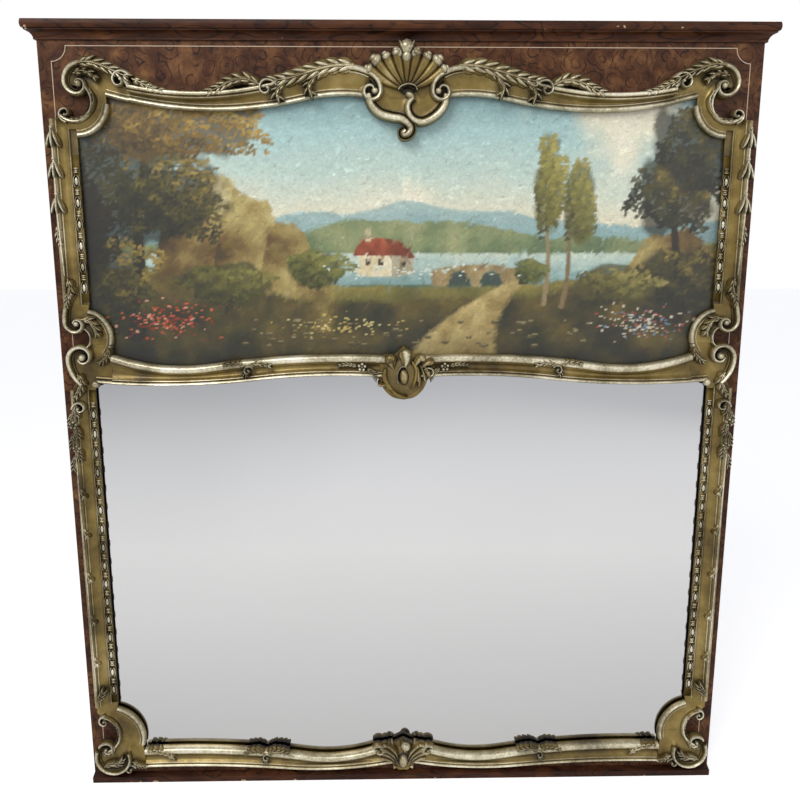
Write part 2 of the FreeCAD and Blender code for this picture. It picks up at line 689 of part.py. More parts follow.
# the bottom corner: a round hollow above a ring that rests on the base
c, r = low_corner["centre"], low_corner["sight_r"] - half_roll
joint_x, low_top = low_corner["rail_x"], low_corner["side_z"]
sight = round_track(c, r, bearing(c, (sight_x, crossing(c, r, sight_x, 1))), 194)
hollow = round_track(low_corner["hollow"], low_corner["hollow_r"], 100, 250)
ring = round_track((sight_x + 13.5, 60), 33, 30, -200)
web = plate([(sight_x, low_top)] + sight.steps() + [(joint_x, low_lower["near"][1] + 8), (joint_x + 32, 42)]
            + [(sight_x + 12, 27, side_outer + 2, 52), (side_outer, 78), (sight_x + 28, 78)]
            + backwards(hollow.steps())[1:] + [(side_outer, 162), (side_outer, low_top)], web_h)
low_whole = join([web, sight.carry(sight_roll), hollow.carry(roll(rim_w, rim_h - 4)),
                  ring.carry(rim), eye(sight_x + 14, 63, 9, rim_h)])

split_mid, split_low = 912.0, 104.0     # where the lengths of a side are glued end to end
side_top = straight_side(high_z, top_corner["side_z"] - joint_gap)
side_low = straight_side(low_top, low_z)
gap = joint_gap / 2
to_rail_mid, to_rail_low = mid_corner["rail_x"] + gap, low_corner["rail_x"] + gap
sides = join([mid_whole, side_top, side_low, low_whole])
pair("upper_side", keep_inside(sides, ((to_rail_mid, half_w), everything, (split_mid + gap, top_z))))
lower_reach = (split_low + gap, split_mid - gap)
pair("lower_side", keep_inside(sides, ((to_rail_mid, half_w), everything, lower_reach),
                               ((to_rail_low, to_rail_mid + 1), everything, (split_low + gap, low_top))))
pair("low_corner", keep_inside(sides, ((to_rail_low, half_w), everything, (base_h, split_low - gap))))


# ---- crest: a ribbed shell over a lipped cup, between the volutes of the top rail ----------------------
shell_foot = (0.0, 1368.0)
shell_h, rib_from, rib_r = 10.0, 14.0, 6.0
# each rib of the shell: bearing, reach from the foot, and radius of the curl it ends in
shell_ribs = [(30, 74, 8.5), (46, 62, 8.5), (61, 52, 6), (75, 53, 6), (90, 62, 12), (105, 53, 6),
              (118, 52, 6), (130, 64, 8.5), (146, 72, 8.5)]


def from_foot(bearing_deg, reach):
    turned = math.radians(bearing_deg)
    return shell_foot[0] + reach * math.cos(turned), shell_foot[1] + reach * math.sin(turned)


fan = [(-30, 1340), (30, 1340)] + [from_foot(b, reach) for b, reach, _ in shell_ribs]
pieces = [plate(fan, shell_h)]
for rib_bearing, reach, curl_r in shell_ribs:
    x, z = from_foot(rib_bearing, rib_from)
    turned = math.radians(rib_bearing)
    rings = []
    for share, r in ((0, rib_r / 3), (1, rib_r)):
        along = share * (reach - rib_from)
        section = [(-r, shell_h / 2), (-r, shell_h), (-r / 2, shell_h + r), (r / 2, shell_h + r),
                   (r, shell_h), (r, shell_h / 2)]
        rings.append([V(x + along * math.cos(turned) - u * math.sin(turned), -board_t - up,
                        z + along * math.sin(turned) + u * math.cos(turned)) for u, up in section])
    pieces.append(skin(rings))
    pieces.append(boss(*from_foot(rib_bearing, reach), curl_r, 0.6 * curl_r, 0, shell_h + 1.7 * curl_r))
cup = [(-62, 1350), (-54, 1330, -38, 1321), (-14, 1313), (2, 1300, 34, 1309), (56, 1322, 61, 1348),
       (24, 1358), (-24, 1358)]
pieces.append(plate(cup, web_h + 2))
left_lip = Track((-64, 1352), 280, [(40, 62), (34, -20), (26, -62), (9, -160), (6, -60)])
right_lip = Track((65, 1352), 262, [(42, -86), (34, -20), (16, -60)])
pieces += [left_lip.carry(roll(rim_w, rim_h - 6)), right_lip.carry(roll(rim_w, rim_h - 6))]
pieces.append(eye(-3, 1348, 9, rim_h - 2))


def laid(shape, *unders):
    """Lays a carved piece over others: what they fill is cut away, and crumbs are dropped."""
    for under in unders:
        if under.BoundBox.intersect(shape.BoundBox):
            shape = shape.cut(under)
    largest = max(one.Volume for one in shape.Solids)
    return Part.Compound([one for one in shape.Solids if one.Volume > 0.02 * largest])


keep("crest_shell", laid(join(pieces).translated(V(crest_x, 0, 0)), *top_rails.values()))


# ---- egg-and-reel beading in the bed of each side ----------------------------------------------------
strip_t, bead_fit = 1.0, 0.3


def bead(z, corners, high):
    """One faceted bead: a foot with these corners, drawn in to a smaller top."""
    x, y = sight_x + bead_w / 2, -board_t - bead_bed
    return skin([[V(x + share * u, y - up, z + share * w) for u, w in corners]
                 for share, up in ((1.0, 0.0), (0.5, high))])


egg_half = (egg_w - bead_fit) / 2
egg_foot = [(0, egg_long / 2), (egg_half, egg_long / 4), (egg_half, -egg_long / 4), (0, -egg_long / 2),
            (-egg_half, -egg_long / 4), (-egg_half, egg_long / 4)]
reel_foot = [(u * reel_w / 2, w * reel_long / 2) for u, w in ((1, 1), (1, -1), (-1, -1), (-1, 1))]


def beading(low, high):
    count = int((high - low) // bead_pitch)
    first = (low + high - count * bead_pitch) / 2
    pieces = [box((sight_x + bead_fit, sight_x + bead_w - bead_fit),
                  (-board_t - bead_bed - strip_t, -board_t - bead_bed), (low, high))]
    for i in range(count):
        z = first + (i + 0.25) * bead_pitch
        pieces += [bead(z, egg_foot, egg_h), bead(z + bead_pitch / 2, reel_foot, reel_h)]
    return join(pieces)


pair("upper_beading", beading(high_z, top_corner["side_z"] - 4 * bead_w))
pair("lower_beading", beading(low_top, low_z))


# ---- leaves laid over the mouldings ---------------------------------------------------------------------
leaf_h = 30.0             # how far the tips of the leaves stand in front of the board
husk_long, husk_w = 30.0, 20.0
husk_pitch = 0.8 * husk_long
garland_long, garland_w, garland_turn = 40.0, 22.0, 14.0
over_rim = dict(height=leaf_h - rim_h, lobes=1, back=rim_h)     # leaves that lie on the outer roll

near_x, near_z = top_rim["near"]
far_x, far_z = top_rim["far"]
spray = join([leaf(near_x + 45, near_z - 7, 168, 62, 24, leaf_h),
              leaf(far_x - 108, far_z + 23, 166, 88, 30, leaf_h),
              leaf(near_x + 91, near_z - 27, 215, 46, 20, leaf_h - 6),
              leaf(far_x - 18, far_z + 16, 160, 78, 24, leaf_h - 6)])
for side, name in ((1, "right"), (-1, "left")):
    keep("leaf_spray_" + name, laid(about_crest(spray, side), top_rails[name], parts["top_corner_" + name]))

drop = join([leaf(side_outer - 6, top_corner["side_z"] - 10 - i * husk_pitch, 270, husk_long, husk_w,
                  spread=24.0, **over_rim) for i in range(3)])
garland = []
for i in range(6):
    sway = 1 if i % 2 else -1
    garland.append(leaf(side_outer - 4 + 2 * sway, low_z - 6 - i * husk_pitch, 270 + sway * garland_turn,
                        garland_long, garland_w, spread=28.0, **over_rim))
pair("bellflower_drop", drop)
pair("side_garland", join(garland))


# ---- hanging rings on the back ----------------------------------------------------------------------------
def along_y(r, y, x, z):
    """A round bar square to the board, between two depths."""
    return cylinder(r, y[1] - y[0], V(x, y[0], z), V(0, 1, 0))


def screw_top(x, z, seat):
    """A screw's head on a seat behind the board."""
    return boss(x, z, screw_head_r, 0.7 * screw_head_r, -board_t - seat, -board_t - seat - screw_head_t)


plate_z = (hanger_z + barrel_r - plate_long, hanger_z + barrel_r)
barrel = cylinder(barrel_r, barrel_long, V(hanger_x - barrel_long / 2, barrel_y, hanger_z), V(1, 0, 0))
bore = cylinder(wire_r + wire_fit, barrel_long, V(hanger_x - barrel_long / 2, barrel_y, hanger_z), V(1, 0, 0))
below_ring = ring_leg + ring_half + 2 * wire_r + screw_head_r
hanger_screws = []
for z in (hanger_z - below_ring, plate_z[0] + 2 * screw_head_r):
    shank = boss(hanger_x, z, 0.4 * screw_r, screw_r, screw_long - plate_t - board_t, -board_t - plate_t)
    hanger_screws.append(join([shank, screw_top(hanger_x, z, plate_t)]))
hanger = join([box((hanger_x - plate_w / 2, hanger_x + plate_w / 2), (0, plate_t), plate_z), barrel]).cut(bore)
for screw in hanger_screws:
    hanger = hanger.cut(screw)
pair("hanger_plate", hanger)
both_sides = hanger_screws + [mirrored(screw) for screw in hanger_screws]
keep("hanger_screws", Part.Compound(both_sides))

leg_foot = hanger_z - ring_leg


def wire_section(turn, lift=0.0):
    """The eight-sided section of the ring, so many degrees round its bend."""
    s, c = math.sin(math.radians(turn)), math.cos(math.radians(turn))
    corners = [(i + 0.5) * math.pi / 4 for i in range(8)]
    return [V(hanger_x + (ring_half + wire_r * math.cos(a)) * c, barrel_y + wire_r * math.sin(a),
              leg_foot + lift - (ring_half + wire_r * math.cos(a)) * s) for a in corners]


crossbar = cylinder(wire_r, 2 * ring_half, V(hanger_x - ring_half, barrel_y, hanger_z), V(1, 0, 0))
hoop = skin([wire_section(0, ring_leg + wire_r)] + [wire_section(30 * i) for i in range(7)]
            + [wire_section(180, ring_leg + wire_r)])
pair("hanger_ring", join([hoop, crossbar]))


# ---- turn buttons that hold the stretcher in its rebate ---------------------------------------------------------
button_y = (button_gap, button_gap + button_t)
button_screws = []
for place, z, up in (("top", painting_z[1] + button_end + button_t, -1),
                     ("bottom", (bar_z[0] + bar_z[1]) / 2, 1)):
    tail, tip = z - up * button_end, z + up * (button_long - button_end)
    half = button_w / 2
    bevel = up * half / 2
    corners = [(-half / 2, tail - bevel), (half / 2, tail - bevel), (half, tail), (0.7 * half, tip),
               (0.3 * half, tip + bevel), (-0.3 * half, tip + bevel), (-0.7 * half, tip), (-half, tail)]
    button = Part.Face(outline(corners, lambda x, w: V(x, button_y[0], w)))
    button = button.extrude(V(0, button_t, 0)).cut(along_y(screw_r + screw_fit, button_y, 0, z))
    seat = button_y[1] + button_gap
    screw = join([along_y(screw_r, (seat - screw_long, seat), 0, z), screw_top(0, z, seat)])
    for x, side_name in ((button_x, "right"), (-button_x, "left")):
        keep("turn_button_" + place + "_" + side_name, button.translated(V(x, 0, 0)))
        button_screws.append(screw.translated(V(x, 0, 0)))
keep("turn_button_screws", Part.Compound(button_screws))

fixings = Part.Compound(button_screws + both_sides)
keep("top_rail", top_rail.cut(fixings))
keep("mid_rail", mid_rail.cut(fixings))
keep("low_rail", low_rail)

os.makedirs("parts", exist_ok=True)
for name, shape in parts.items():
    shape.exportStep("parts/" + name + ".step")
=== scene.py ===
"""Looks of a trumeau mirror: a burl-veneered board that carries a landscape painted on canvas
over a looking glass, both held behind carved, gilt and worn mouldings.

Shapes are laid out in millimetres on the front of the board, across and up, with a height
above it, and are turned to metres in the frame's own coordinates when their mesh is made."""

import math

import bmesh
import bpy
import numpy as np
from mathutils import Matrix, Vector
from mathutils.geometry import delaunay_2d_cdt


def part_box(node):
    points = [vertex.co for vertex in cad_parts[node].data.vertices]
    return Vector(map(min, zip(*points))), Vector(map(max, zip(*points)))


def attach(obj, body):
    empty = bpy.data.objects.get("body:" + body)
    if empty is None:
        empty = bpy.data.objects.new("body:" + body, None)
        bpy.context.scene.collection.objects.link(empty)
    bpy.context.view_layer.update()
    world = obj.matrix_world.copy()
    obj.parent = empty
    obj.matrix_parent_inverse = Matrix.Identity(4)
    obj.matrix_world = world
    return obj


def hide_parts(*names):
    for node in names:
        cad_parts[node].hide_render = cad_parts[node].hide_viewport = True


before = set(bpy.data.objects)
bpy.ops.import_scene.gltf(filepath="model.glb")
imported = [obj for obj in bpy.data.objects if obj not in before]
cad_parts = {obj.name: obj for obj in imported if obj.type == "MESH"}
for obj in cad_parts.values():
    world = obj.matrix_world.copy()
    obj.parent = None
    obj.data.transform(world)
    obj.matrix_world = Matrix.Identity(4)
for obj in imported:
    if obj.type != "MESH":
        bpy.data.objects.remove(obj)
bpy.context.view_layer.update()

# ---- The room it was photographed in ------------------------------------------------------------
# A plain white studio: a pale floor that runs back to a white surround, two large soft lamps
# in front and a weak even fill. The camera stands a little left of the middle, at the height
# of the painting's middle, and looks down slightly.
camera_place = Vector((-0.0379, -1.6178, 1.1274))
camera_look = Vector((0.0194, 0.9796, -0.2001))
photo_lens = 38.25
bpy.context.scene.view_settings.view_transform = "Standard"


def paint(code):
    """A hex colour as Blender's linear RGBA."""
    parts = [int(code[i:i + 2], 16) / 255 for i in (1, 3, 5)]
    return [c / 12.92 if c <= 0.04045 else ((c + 0.055) / 1.055) ** 2.4 for c in parts] + [1.0]


def plug(made, sockets):
    """Sets a node's sockets to values, or links them to the nodes or outputs that feed them."""
    for name, value in sockets.items():
        if isinstance(value, bpy.types.Node):
            value = next(output for output in value.outputs if output.enabled)
        if isinstance(value, bpy.types.NodeSocket):
            made.id_data.links.new(value, made.inputs[name])
        else:
            made.inputs[name].default_value = value


def node(tree, kind, sockets=None, stops=(), **settings):
    """Adds a node with its settings, its sockets and, for a ramp, (place, hex colour) stops."""
    made = tree.nodes.new(kind)
    for name, value in settings.items():
        setattr(made, name, value)
    plug(made, sockets or {})
    if stops:
        while len(made.color_ramp.elements) < len(stops):
            made.color_ramp.elements.new(0.5)
        for element, (place, code) in zip(made.color_ramp.elements, stops):
            element.position, element.color = place, paint(code)
    return made


def finish_of(name):
    """A new material with an empty Principled shader: its tree and that shader."""
    material = bpy.data.materials.new(name)
    material.use_nodes = True
    return material, material.node_tree, material.node_tree.nodes["Principled BSDF"]


def set_out(name, data):
    """A new object in the scene."""
    made = bpy.data.objects.new(name, data)
    bpy.context.scene.collection.objects.link(made)
    return made


def seen_white(tree):
    """1 for what the camera, a reflection or a look through glass sees directly."""
    rays = node(tree, "ShaderNodeLightPath")
    both = node(tree, "ShaderNodeMath", {0: rays.outputs["Is Camera Ray"],
                                         1: rays.outputs["Is Glossy Ray"]},
                operation="MAXIMUM")
    return node(tree, "ShaderNodeMath", {0: both, 1: rays.outputs["Is Transmission Ray"]},
                operation="MAXIMUM")


camera = set_out("camera", bpy.data.cameras.new("camera"))
camera.data.lens, camera.data.sensor_width = photo_lens, 36.0
camera.location = camera_place
camera.rotation_euler = camera_look.to_track_quat("-Z", "Y").to_euler()
bpy.context.scene.camera = camera

world = bpy.data.worlds.new("studio")
bpy.context.scene.world = world
world.use_nodes = True
sky = world.node_tree
surround = node(sky, "ShaderNodeMixShader", {
    0: seen_white(sky),
    1: node(sky, "ShaderNodeBackground", {"Color": paint("#F4F6FF"), "Strength": 0.46}),
    2: node(sky, "ShaderNodeBackground", {"Color": (1, 1, 1, 1), "Strength": 1.0})})
plug(sky.nodes["World Output"], {0: surround})

for lamp_name, place, size, watts in (("key", (-1.3, -2.4, 3.1), 1.5, 64),
                                      ("fill", (2.1, -2.6, 1.9), 2.2, 20)):
    lamp = set_out(lamp_name, bpy.data.lights.new(lamp_name, "AREA"))
    lamp.data.size, lamp.data.energy = size, watts
    lamp.location = place
    lamp.rotation_euler = (Vector((0, 0, 0.75)) - Vector(place)).to_track_quat("-Z", "Y").to_euler()

floor_half, floor_glow = 14.0, 0.55                # metres; how bright the camera sees the floor
floor_mesh = bpy.data.meshes.new("floor")
floor_mesh.from_pydata([(-floor_half, -floor_half, 0), (floor_half, -floor_half, 0),
                        (floor_half, floor_half, 0), (-floor_half, floor_half, 0)], [], [(0, 1, 2, 3)])
floor = set_out("floor", floor_mesh)
floor_paint, tree, shader = finish_of("white_floor_paint")
plug(shader, {"Base Color": paint("#EDEDED"), "Roughness": 0.9, "Emission Color": (1, 1, 1, 1),
              "Emission Strength": node(tree, "ShaderNodeMath", {0: seen_white(tree), 1: floor_glow},
                                        operation="MULTIPLY")})
floor_mesh.materials.append(floor_paint)


# ---- Carcass: stiles, rails and the boards behind the glass -------------------------------------
# Raw pine, planed by hand and darkened by a century of dust: straight grain with darker late
# wood, a few grey stains, no polish. The joints are glued and the boards nailed.
def dress(names, material):
    """Gives carried-over pieces of the frame their finish."""
    for name in names:
        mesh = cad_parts[name].data
        mesh.materials.clear()
        mesh.materials.append(material)


def raw_pine(name, along):
    """Pine with its grain along one axis of the object, 3 to 6 mm between rings."""
    material, tree, shader = finish_of(name)
    stretch = [55.0, 55.0, 55.0]
    stretch["XYZ".index(along)] = 2.2
    place = node(tree, "ShaderNodeTexCoord").outputs["Object"]
    grain_space = node(tree, "ShaderNodeMapping", {"Vector": place, "Scale": stretch})
    rings = node(tree, "ShaderNodeTexNoise", {"Vector": grain_space, "Scale": 2.4, "Detail": 6.0,
                                              "Distortion": 0.6})
    stain = node(tree, "ShaderNodeTexNoise", {"Vector": place, "Scale": 9.0, "Detail": 4.0})
    wood = node(tree, "ShaderNodeValToRGB", {0: rings},
                stops=[(0.36, "#6E4A29"), (0.47, "#A57C4B"), (0.6, "#B78F5C"), (0.72, "#7C5530")])
    dirt = node(tree, "ShaderNodeValToRGB", {0: stain}, stops=[(0.35, "#7A6650"), (0.6, "#FFFFFF")])
    aged = node(tree, "ShaderNodeMix", {0: 0.75, 6: wood, 7: dirt}, data_type="RGBA",
                blend_type="MULTIPLY")
    bump = node(tree, "ShaderNodeBump", {"Height": rings, "Strength": 0.25, "Distance": 0.0006})
    plug(shader, {"Base Color": aged, "Normal": bump, "Roughness": 0.82})
    return material


upright_pine = raw_pine("raw_pine_upright", "Z")
level_pine = raw_pine("raw_pine_level", "X")
dress(["stile_left", "stile_right", "stretcher_side_left", "stretcher_side_right", "stretcher_crossbar",
       "backboards"], upright_pine)
dress(["top_rail", "mid_rail", "low_rail", "stretcher_top", "stretcher_bottom", "glass_battens",
       "stretcher_keys"], level_pine)


# ---- Burl veneer with its inlaid line -----------------------------------------------------------
# Dark walnut burl, knife-cut and French polished: eyes and swirls ringed with dark lines over a
# red-brown ground. One pale line is let in near the edge and steps round the two top corners.
line_x, line_z, line_notch, line_w = 0.617, 1.4365, 0.026, 0.0013


def burl_colour(tree, place):
    """The figure of the burl, from the object's own coordinates in metres: eyes 20 to 50 mm
    across, ringed and linked by dark lines about a millimetre wide."""
    warp = node(tree, "ShaderNodeTexNoise", {"Vector": place, "Scale": 9.0, "Detail": 4.0})
    shove = node(tree, "ShaderNodeVectorMath", {0: warp.outputs["Color"], 3: 0.05}, operation="SCALE")
    bent = node(tree, "ShaderNodeVectorMath", {0: place, 1: shove}, operation="ADD")
    eyes = node(tree, "ShaderNodeTexVoronoi", {"Vector": bent, "Scale": 29.0})
    rings = node(tree, "ShaderNodeMath", {0: eyes, 1: 23.0}, operation="MULTIPLY")
    waves = node(tree, "ShaderNodeMath", {0: rings}, operation="SINE")
    broken = node(tree, "ShaderNodeTexNoise", {"Vector": place, "Scale": 60.0, "Detail": 2.0})
    thin = node(tree, "ShaderNodeMapRange", {0: waves, 1: 0.72, 2: 0.96})
    gaps = node(tree, "ShaderNodeMapRange", {0: broken, 1: 0.36, 2: 0.52})
    line = node(tree, "ShaderNodeMath", {0: thin, 1: gaps}, operation="MULTIPLY")
    cloud = node(tree, "ShaderNodeTexNoise", {"Vector": bent, "Scale": 24.0, "Detail": 8.0,
                                              "Roughness": 0.68})
    wood = node(tree, "ShaderNodeValToRGB", {0: cloud},
                stops=[(0.3, "#27130A"), (0.44, "#422515"), (0.53, "#55351F"), (0.62, "#6B472B"),
                       (0.74, "#8A6539")])
    inked = node(tree, "ShaderNodeMath", {0: line, 1: 0.85}, operation="MULTIPLY")
    return node(tree, "ShaderNodeMix", {0: inked, 6: wood, 7: paint("#1C0E09")}, data_type="RGBA"), cloud


burl, tree, shader = finish_of("polished_walnut_burl")
place = node(tree, "ShaderNodeTexCoord").outputs["Object"]
figure, figure_tone = burl_colour(tree, place)
axes = node(tree, "ShaderNodeSeparateXYZ", {0: place})
out_x = node(tree, "ShaderNodeMath", {0: axes}, operation="ABSOLUTE")
from_side = node(tree, "ShaderNodeMath", {0: line_x, 1: out_x}, operation="SUBTRACT")
from_top = node(tree, "ShaderNodeMath", {0: line_z, 1: axes.outputs[2]}, operation="SUBTRACT")
corner = node(tree, "ShaderNodeCombineXYZ", {0: from_side, 1: from_top})
from_corner = node(tree, "ShaderNodeVectorMath", {0: corner}, operation="LENGTH")
past_notch = node(tree, "ShaderNodeMath", {0: from_corner, 1: line_notch}, operation="SUBTRACT")
inside = node(tree, "ShaderNodeMath", {0: from_side, 1: from_top}, operation="MINIMUM")
inside = node(tree, "ShaderNodeMath", {0: inside, 1: past_notch}, operation="MINIMUM")
off_line = node(tree, "ShaderNodeMath", {0: inside}, operation="ABSOLUTE")
on_line = node(tree, "ShaderNodeMath", {0: off_line, 1: line_w / 2}, operation="LESS_THAN")
inlaid = node(tree, "ShaderNodeMix", {0: on_line, 6: figure, 7: paint("#C3AE96")}, data_type="RGBA")
plug(shader, {"Base Color": inlaid})
polish = node(tree, "ShaderNodeMapRange", {0: figure_tone, 3: 0.5, 4: 0.36})
plug(shader, {"Roughness": polish,
              "Normal": node(tree, "ShaderNodeBump",
                             {"Height": figure_tone, "Strength": 0.12, "Distance": 0.0005}),
              "Specular IOR Level": 0.14})
dress(["burl_veneer"], burl)


# ---- Cornice and base ---------------------------------------------------------------------------
# Walnut run with a plane and mitred at the corners, veneered like the board. The lower edge of
# the base and the nose of the cornice are chipped down to pale bare wood.
def edge_walnut(name, chip_z, chip_depth, chips):
    """Dark walnut, chipped to pale wood within chip_depth above the level chip_z."""
    material, tree, shader = finish_of(name)
    place = node(tree, "ShaderNodeTexCoord").outputs["Object"]
    stretched = node(tree, "ShaderNodeMapping", {"Vector": place, "Scale": (0.35, 1, 1)})
    figure, tone = burl_colour(tree, stretched)
    dusk = node(tree, "ShaderNodeMix", {0: 1.0, 6: figure, 7: paint("#C6B2A6")}, data_type="RGBA",
                blend_type="MULTIPLY")
    height = node(tree, "ShaderNodeSeparateXYZ", {0: place}).outputs[2]
    below = node(tree, "ShaderNodeMapRange", {0: height, 1: chip_z, 2: chip_z + chip_depth, 3: chips,
                                              4: 0.0})
    bites = node(tree, "ShaderNodeTexNoise", {"Vector": place, "Scale": 42.0, "Detail": 3.0})
    depth = node(tree, "ShaderNodeMath", {0: bites, 1: below}, operation="ADD")
    chipped = node(tree, "ShaderNodeMath", {0: depth, 1: 0.985}, operation="GREATER_THAN")
    bare = node(tree, "ShaderNodeMix", {0: chipped, 6: dusk, 7: paint("#B79C7D")}, data_type="RGBA")
    plug(shader, {"Base Color": bare,
                  "Normal": node(tree, "ShaderNodeBump",
                                 {"Height": tone, "Strength": 0.15, "Distance": 0.0006}),
                  "Roughness": 0.46, "Specular IOR Level": 0.16})
    return material


dress(["base_board"], edge_walnut("polished_walnut_base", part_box("base_board")[0][2] + 0.003, 0.004,
                                  0.345))
dress(["cornice_front", "cornice_return_left", "cornice_return_right"],
      edge_walnut("polished_walnut_cornice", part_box("cornice_front")[1][2] + 0.001, 0.001, 0.28))


# ---- Looking glass ------------------------------------------------------------------------------
# Old plate glass silvered on its back. Seen from the front it is one bright, slightly grey
# reflection; its colour holds a painted reflection that is lightest about half a metre up and darker
# towards the upper left.
glass, tree, shader = finish_of("aged_silvered_glass")
place = node(tree, "ShaderNodeTexCoord").outputs["Object"]
axes = node(tree, "ShaderNodeSeparateXYZ", {0: place})
# painted reflection: the silver's colour is set by height, lightest about half a metre up
painted_reflection_by_height = node(tree, "ShaderNodeValToRGB", {0: axes.outputs[2]},
                  stops=[(0.04, "#ACABAA"), (0.2, "#B4B3B2"), (0.5, "#C3C2C0"), (0.66, "#BBBBBB"),
                         (0.86, "#B3B3B4")])
mist = node(tree, "ShaderNodeTexNoise", {"Vector": place, "Scale": 2.2, "Detail": 2.0})
# painted reflection: the colour darkens towards the upper left, broken by a little noise
sideways = node(tree, "ShaderNodeMath", {0: axes, 1: -0.7, 2: mist}, operation="MULTIPLY_ADD")
upper = node(tree, "ShaderNodeMapRange", {0: axes.outputs[2], 1: 0.35, 2: 0.8, 3: 0.1})
dimmed_reflection = node(tree, "ShaderNodeMapRange", {0: sideways, 1: 0.35, 2: 1.0, 3: 0.0, 4: 0.34})
dimmed_reflection = node(tree, "ShaderNodeMath", {0: dimmed_reflection, 1: upper}, operation="MULTIPLY")
silver = node(tree, "ShaderNodeMix", {0: dimmed_reflection, 6: painted_reflection_by_height, 7: paint("#8C8D8D")}, data_type="RGBA")
plug(shader, {"Base Color": silver, "Metallic": 1.0, "Roughness": 0.02})
dress(["mirror_glass", "silvering"], glass)


# ---- Canvas and its paint -----------------------------------------------------------------------
# Linen tacked over a keyed stretcher, primed and painted in oil: a wooded lake with a mill, a
# bridge and rocks. The paint lies in visible strokes under a clear varnish, finely crazed.
linen, tree, shader = finish_of("raw_linen")
place = node(tree, "ShaderNodeTexCoord").outputs["Object"]
warp_threads = node(tree, "ShaderNodeTexWave", {"Vector": place, "Scale": 260.0}, bands_direction="X")
weft_threads = node(tree, "ShaderNodeTexWave", {"Vector": place, "Scale": 260.0}, bands_direction="Z")
weave = node(tree, "ShaderNodeMath", {0: warp_threads.outputs[1], 1: weft_threads.outputs[1]},
             operation="MULTIPLY")
plug(shader, {"Base Color": node(tree, "ShaderNodeValToRGB", {0: weave},
                                 stops=[(0.0, "#6D5A3D"), (1.0, "#A08A64")]),
              "Normal": node(tree, "ShaderNodeBump",
                             {"Height": weave, "Strength": 0.4, "Distance": 0.0004}),
              "Roughness": 0.9})
dress(["canvas"], linen)

canvas_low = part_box("canvas")[0]
paint_half_w, paint_low, paint_high = 0.5985, 0.8675, 1.3705
paint_t = 0.0004
columns, rows_up = 470, 198
grid_w, grid_h = 1197, 503                       # one cell of the working picture is 1 mm
foot, head, half_span = 0.866, 1.372, 0.6        # its own edges, just past the sight edges
across, up = np.meshgrid(np.linspace(-half_span, half_span, grid_w), np.linspace(foot, head, grid_h))


def rough(scale, seed, octaves=4):
    """Soft random hills between 0 and 1 over the picture, about 1/scale metres apart."""
    source = np.random.default_rng(seed)
    total, weight = np.zeros_like(across), 0.0
    for octave in range(octaves):
        cells = source.random((2 + int(0.52 * scale * 2 ** octave) + 2,
                               2 + int(1.2 * scale * 2 ** octave) + 2))
        gx = (across + half_span) * scale * 2 ** octave
        gz = (up - foot) * scale * 2 ** octave
        ix, iz = gx.astype(int), gz.astype(int)
        fx, fz = gx - ix, gz - iz
        fx, fz = fx * fx * (3 - 2 * fx), fz * fz * (3 - 2 * fz)
        low = cells[iz, ix] * (1 - fx) + cells[iz, ix + 1] * fx
        high = cells[iz + 1, ix] * (1 - fx) + cells[iz + 1, ix + 1] * fx
        total += (low * (1 - fz) + high * fz) * 0.5 ** octave
        weight += 0.5 ** octave
    return total / weight


def shades(*codes):
    return np.array([paint(code)[:3] for code in codes])


def lay(picture, mask, colour):
    """Lays a colour, or a field of colours, where the mask is 1."""
    return picture * (1 - mask[..., None]) + colour * mask[..., None]


def edge(value, soft):
    return np.clip(value / soft + 0.5, 0, 1)


def blend_of(amount, codes):
    """Colours picked along a short scale by an amount from 0 to 1."""
    scale = shades(*codes)
    spot = np.clip(amount, 0, 0.999) * (len(codes) - 1)
    low = spot.astype(int)
    return scale[low] + (scale[low + 1] - scale[low]) * (spot - low)[..., None]


def stamp(picture, x, z, long, thick, turn, colour, strength=0.85):
    """One touch of the brush, an ellipse of colour; sizes in millimetres."""
    cx, cz = int((x + half_span) * 1000), int((z - foot) * 1000)
    half = int(long) + 1
    x0, x1, z0, z1 = max(cx - half, 0), min(cx + half + 1, grid_w), max(cz - half,
            0), min(cz + half + 1, grid_h)
    if x1 <= x0 or z1 <= z0:
        return
    gx, gz = np.meshgrid(np.arange(x0, x1) - cx, np.arange(z0, z1) - cz)
    lengthways = gx * math.cos(turn) + gz * math.sin(turn)
    sideways = gz * math.cos(turn) - gx * math.sin(turn)
    mask = edge(1 - (lengthways / long) ** 2 - (sideways / thick) ** 2, 0.5) * strength
    picture[z0:z1, x0:x1] = lay(picture[z0:z1, x0:x1], mask, np.clip(colour, 0, 1))


def dabs(picture, count, long, thick, jitter, seed):
    """Strokes all over, each in the colour already under it, made a little lighter or darker."""
    source = np.random.default_rng(seed)
    for _ in range(count):
        x, z = source.uniform(-0.6, 0.596), source.uniform(0.867, head - 0.004)
        under = picture[int((z - foot) * 1000), int((x + half_span) * 1000)]
        turn = source.normal(0.15 if z > 1.12 else 0.7, 0.5)
        colour = under * np.exp(source.normal(0, jitter)) + source.normal(0, 0.004, 3)
        stamp(picture, x, z, long, thick, turn, colour, 0.75)


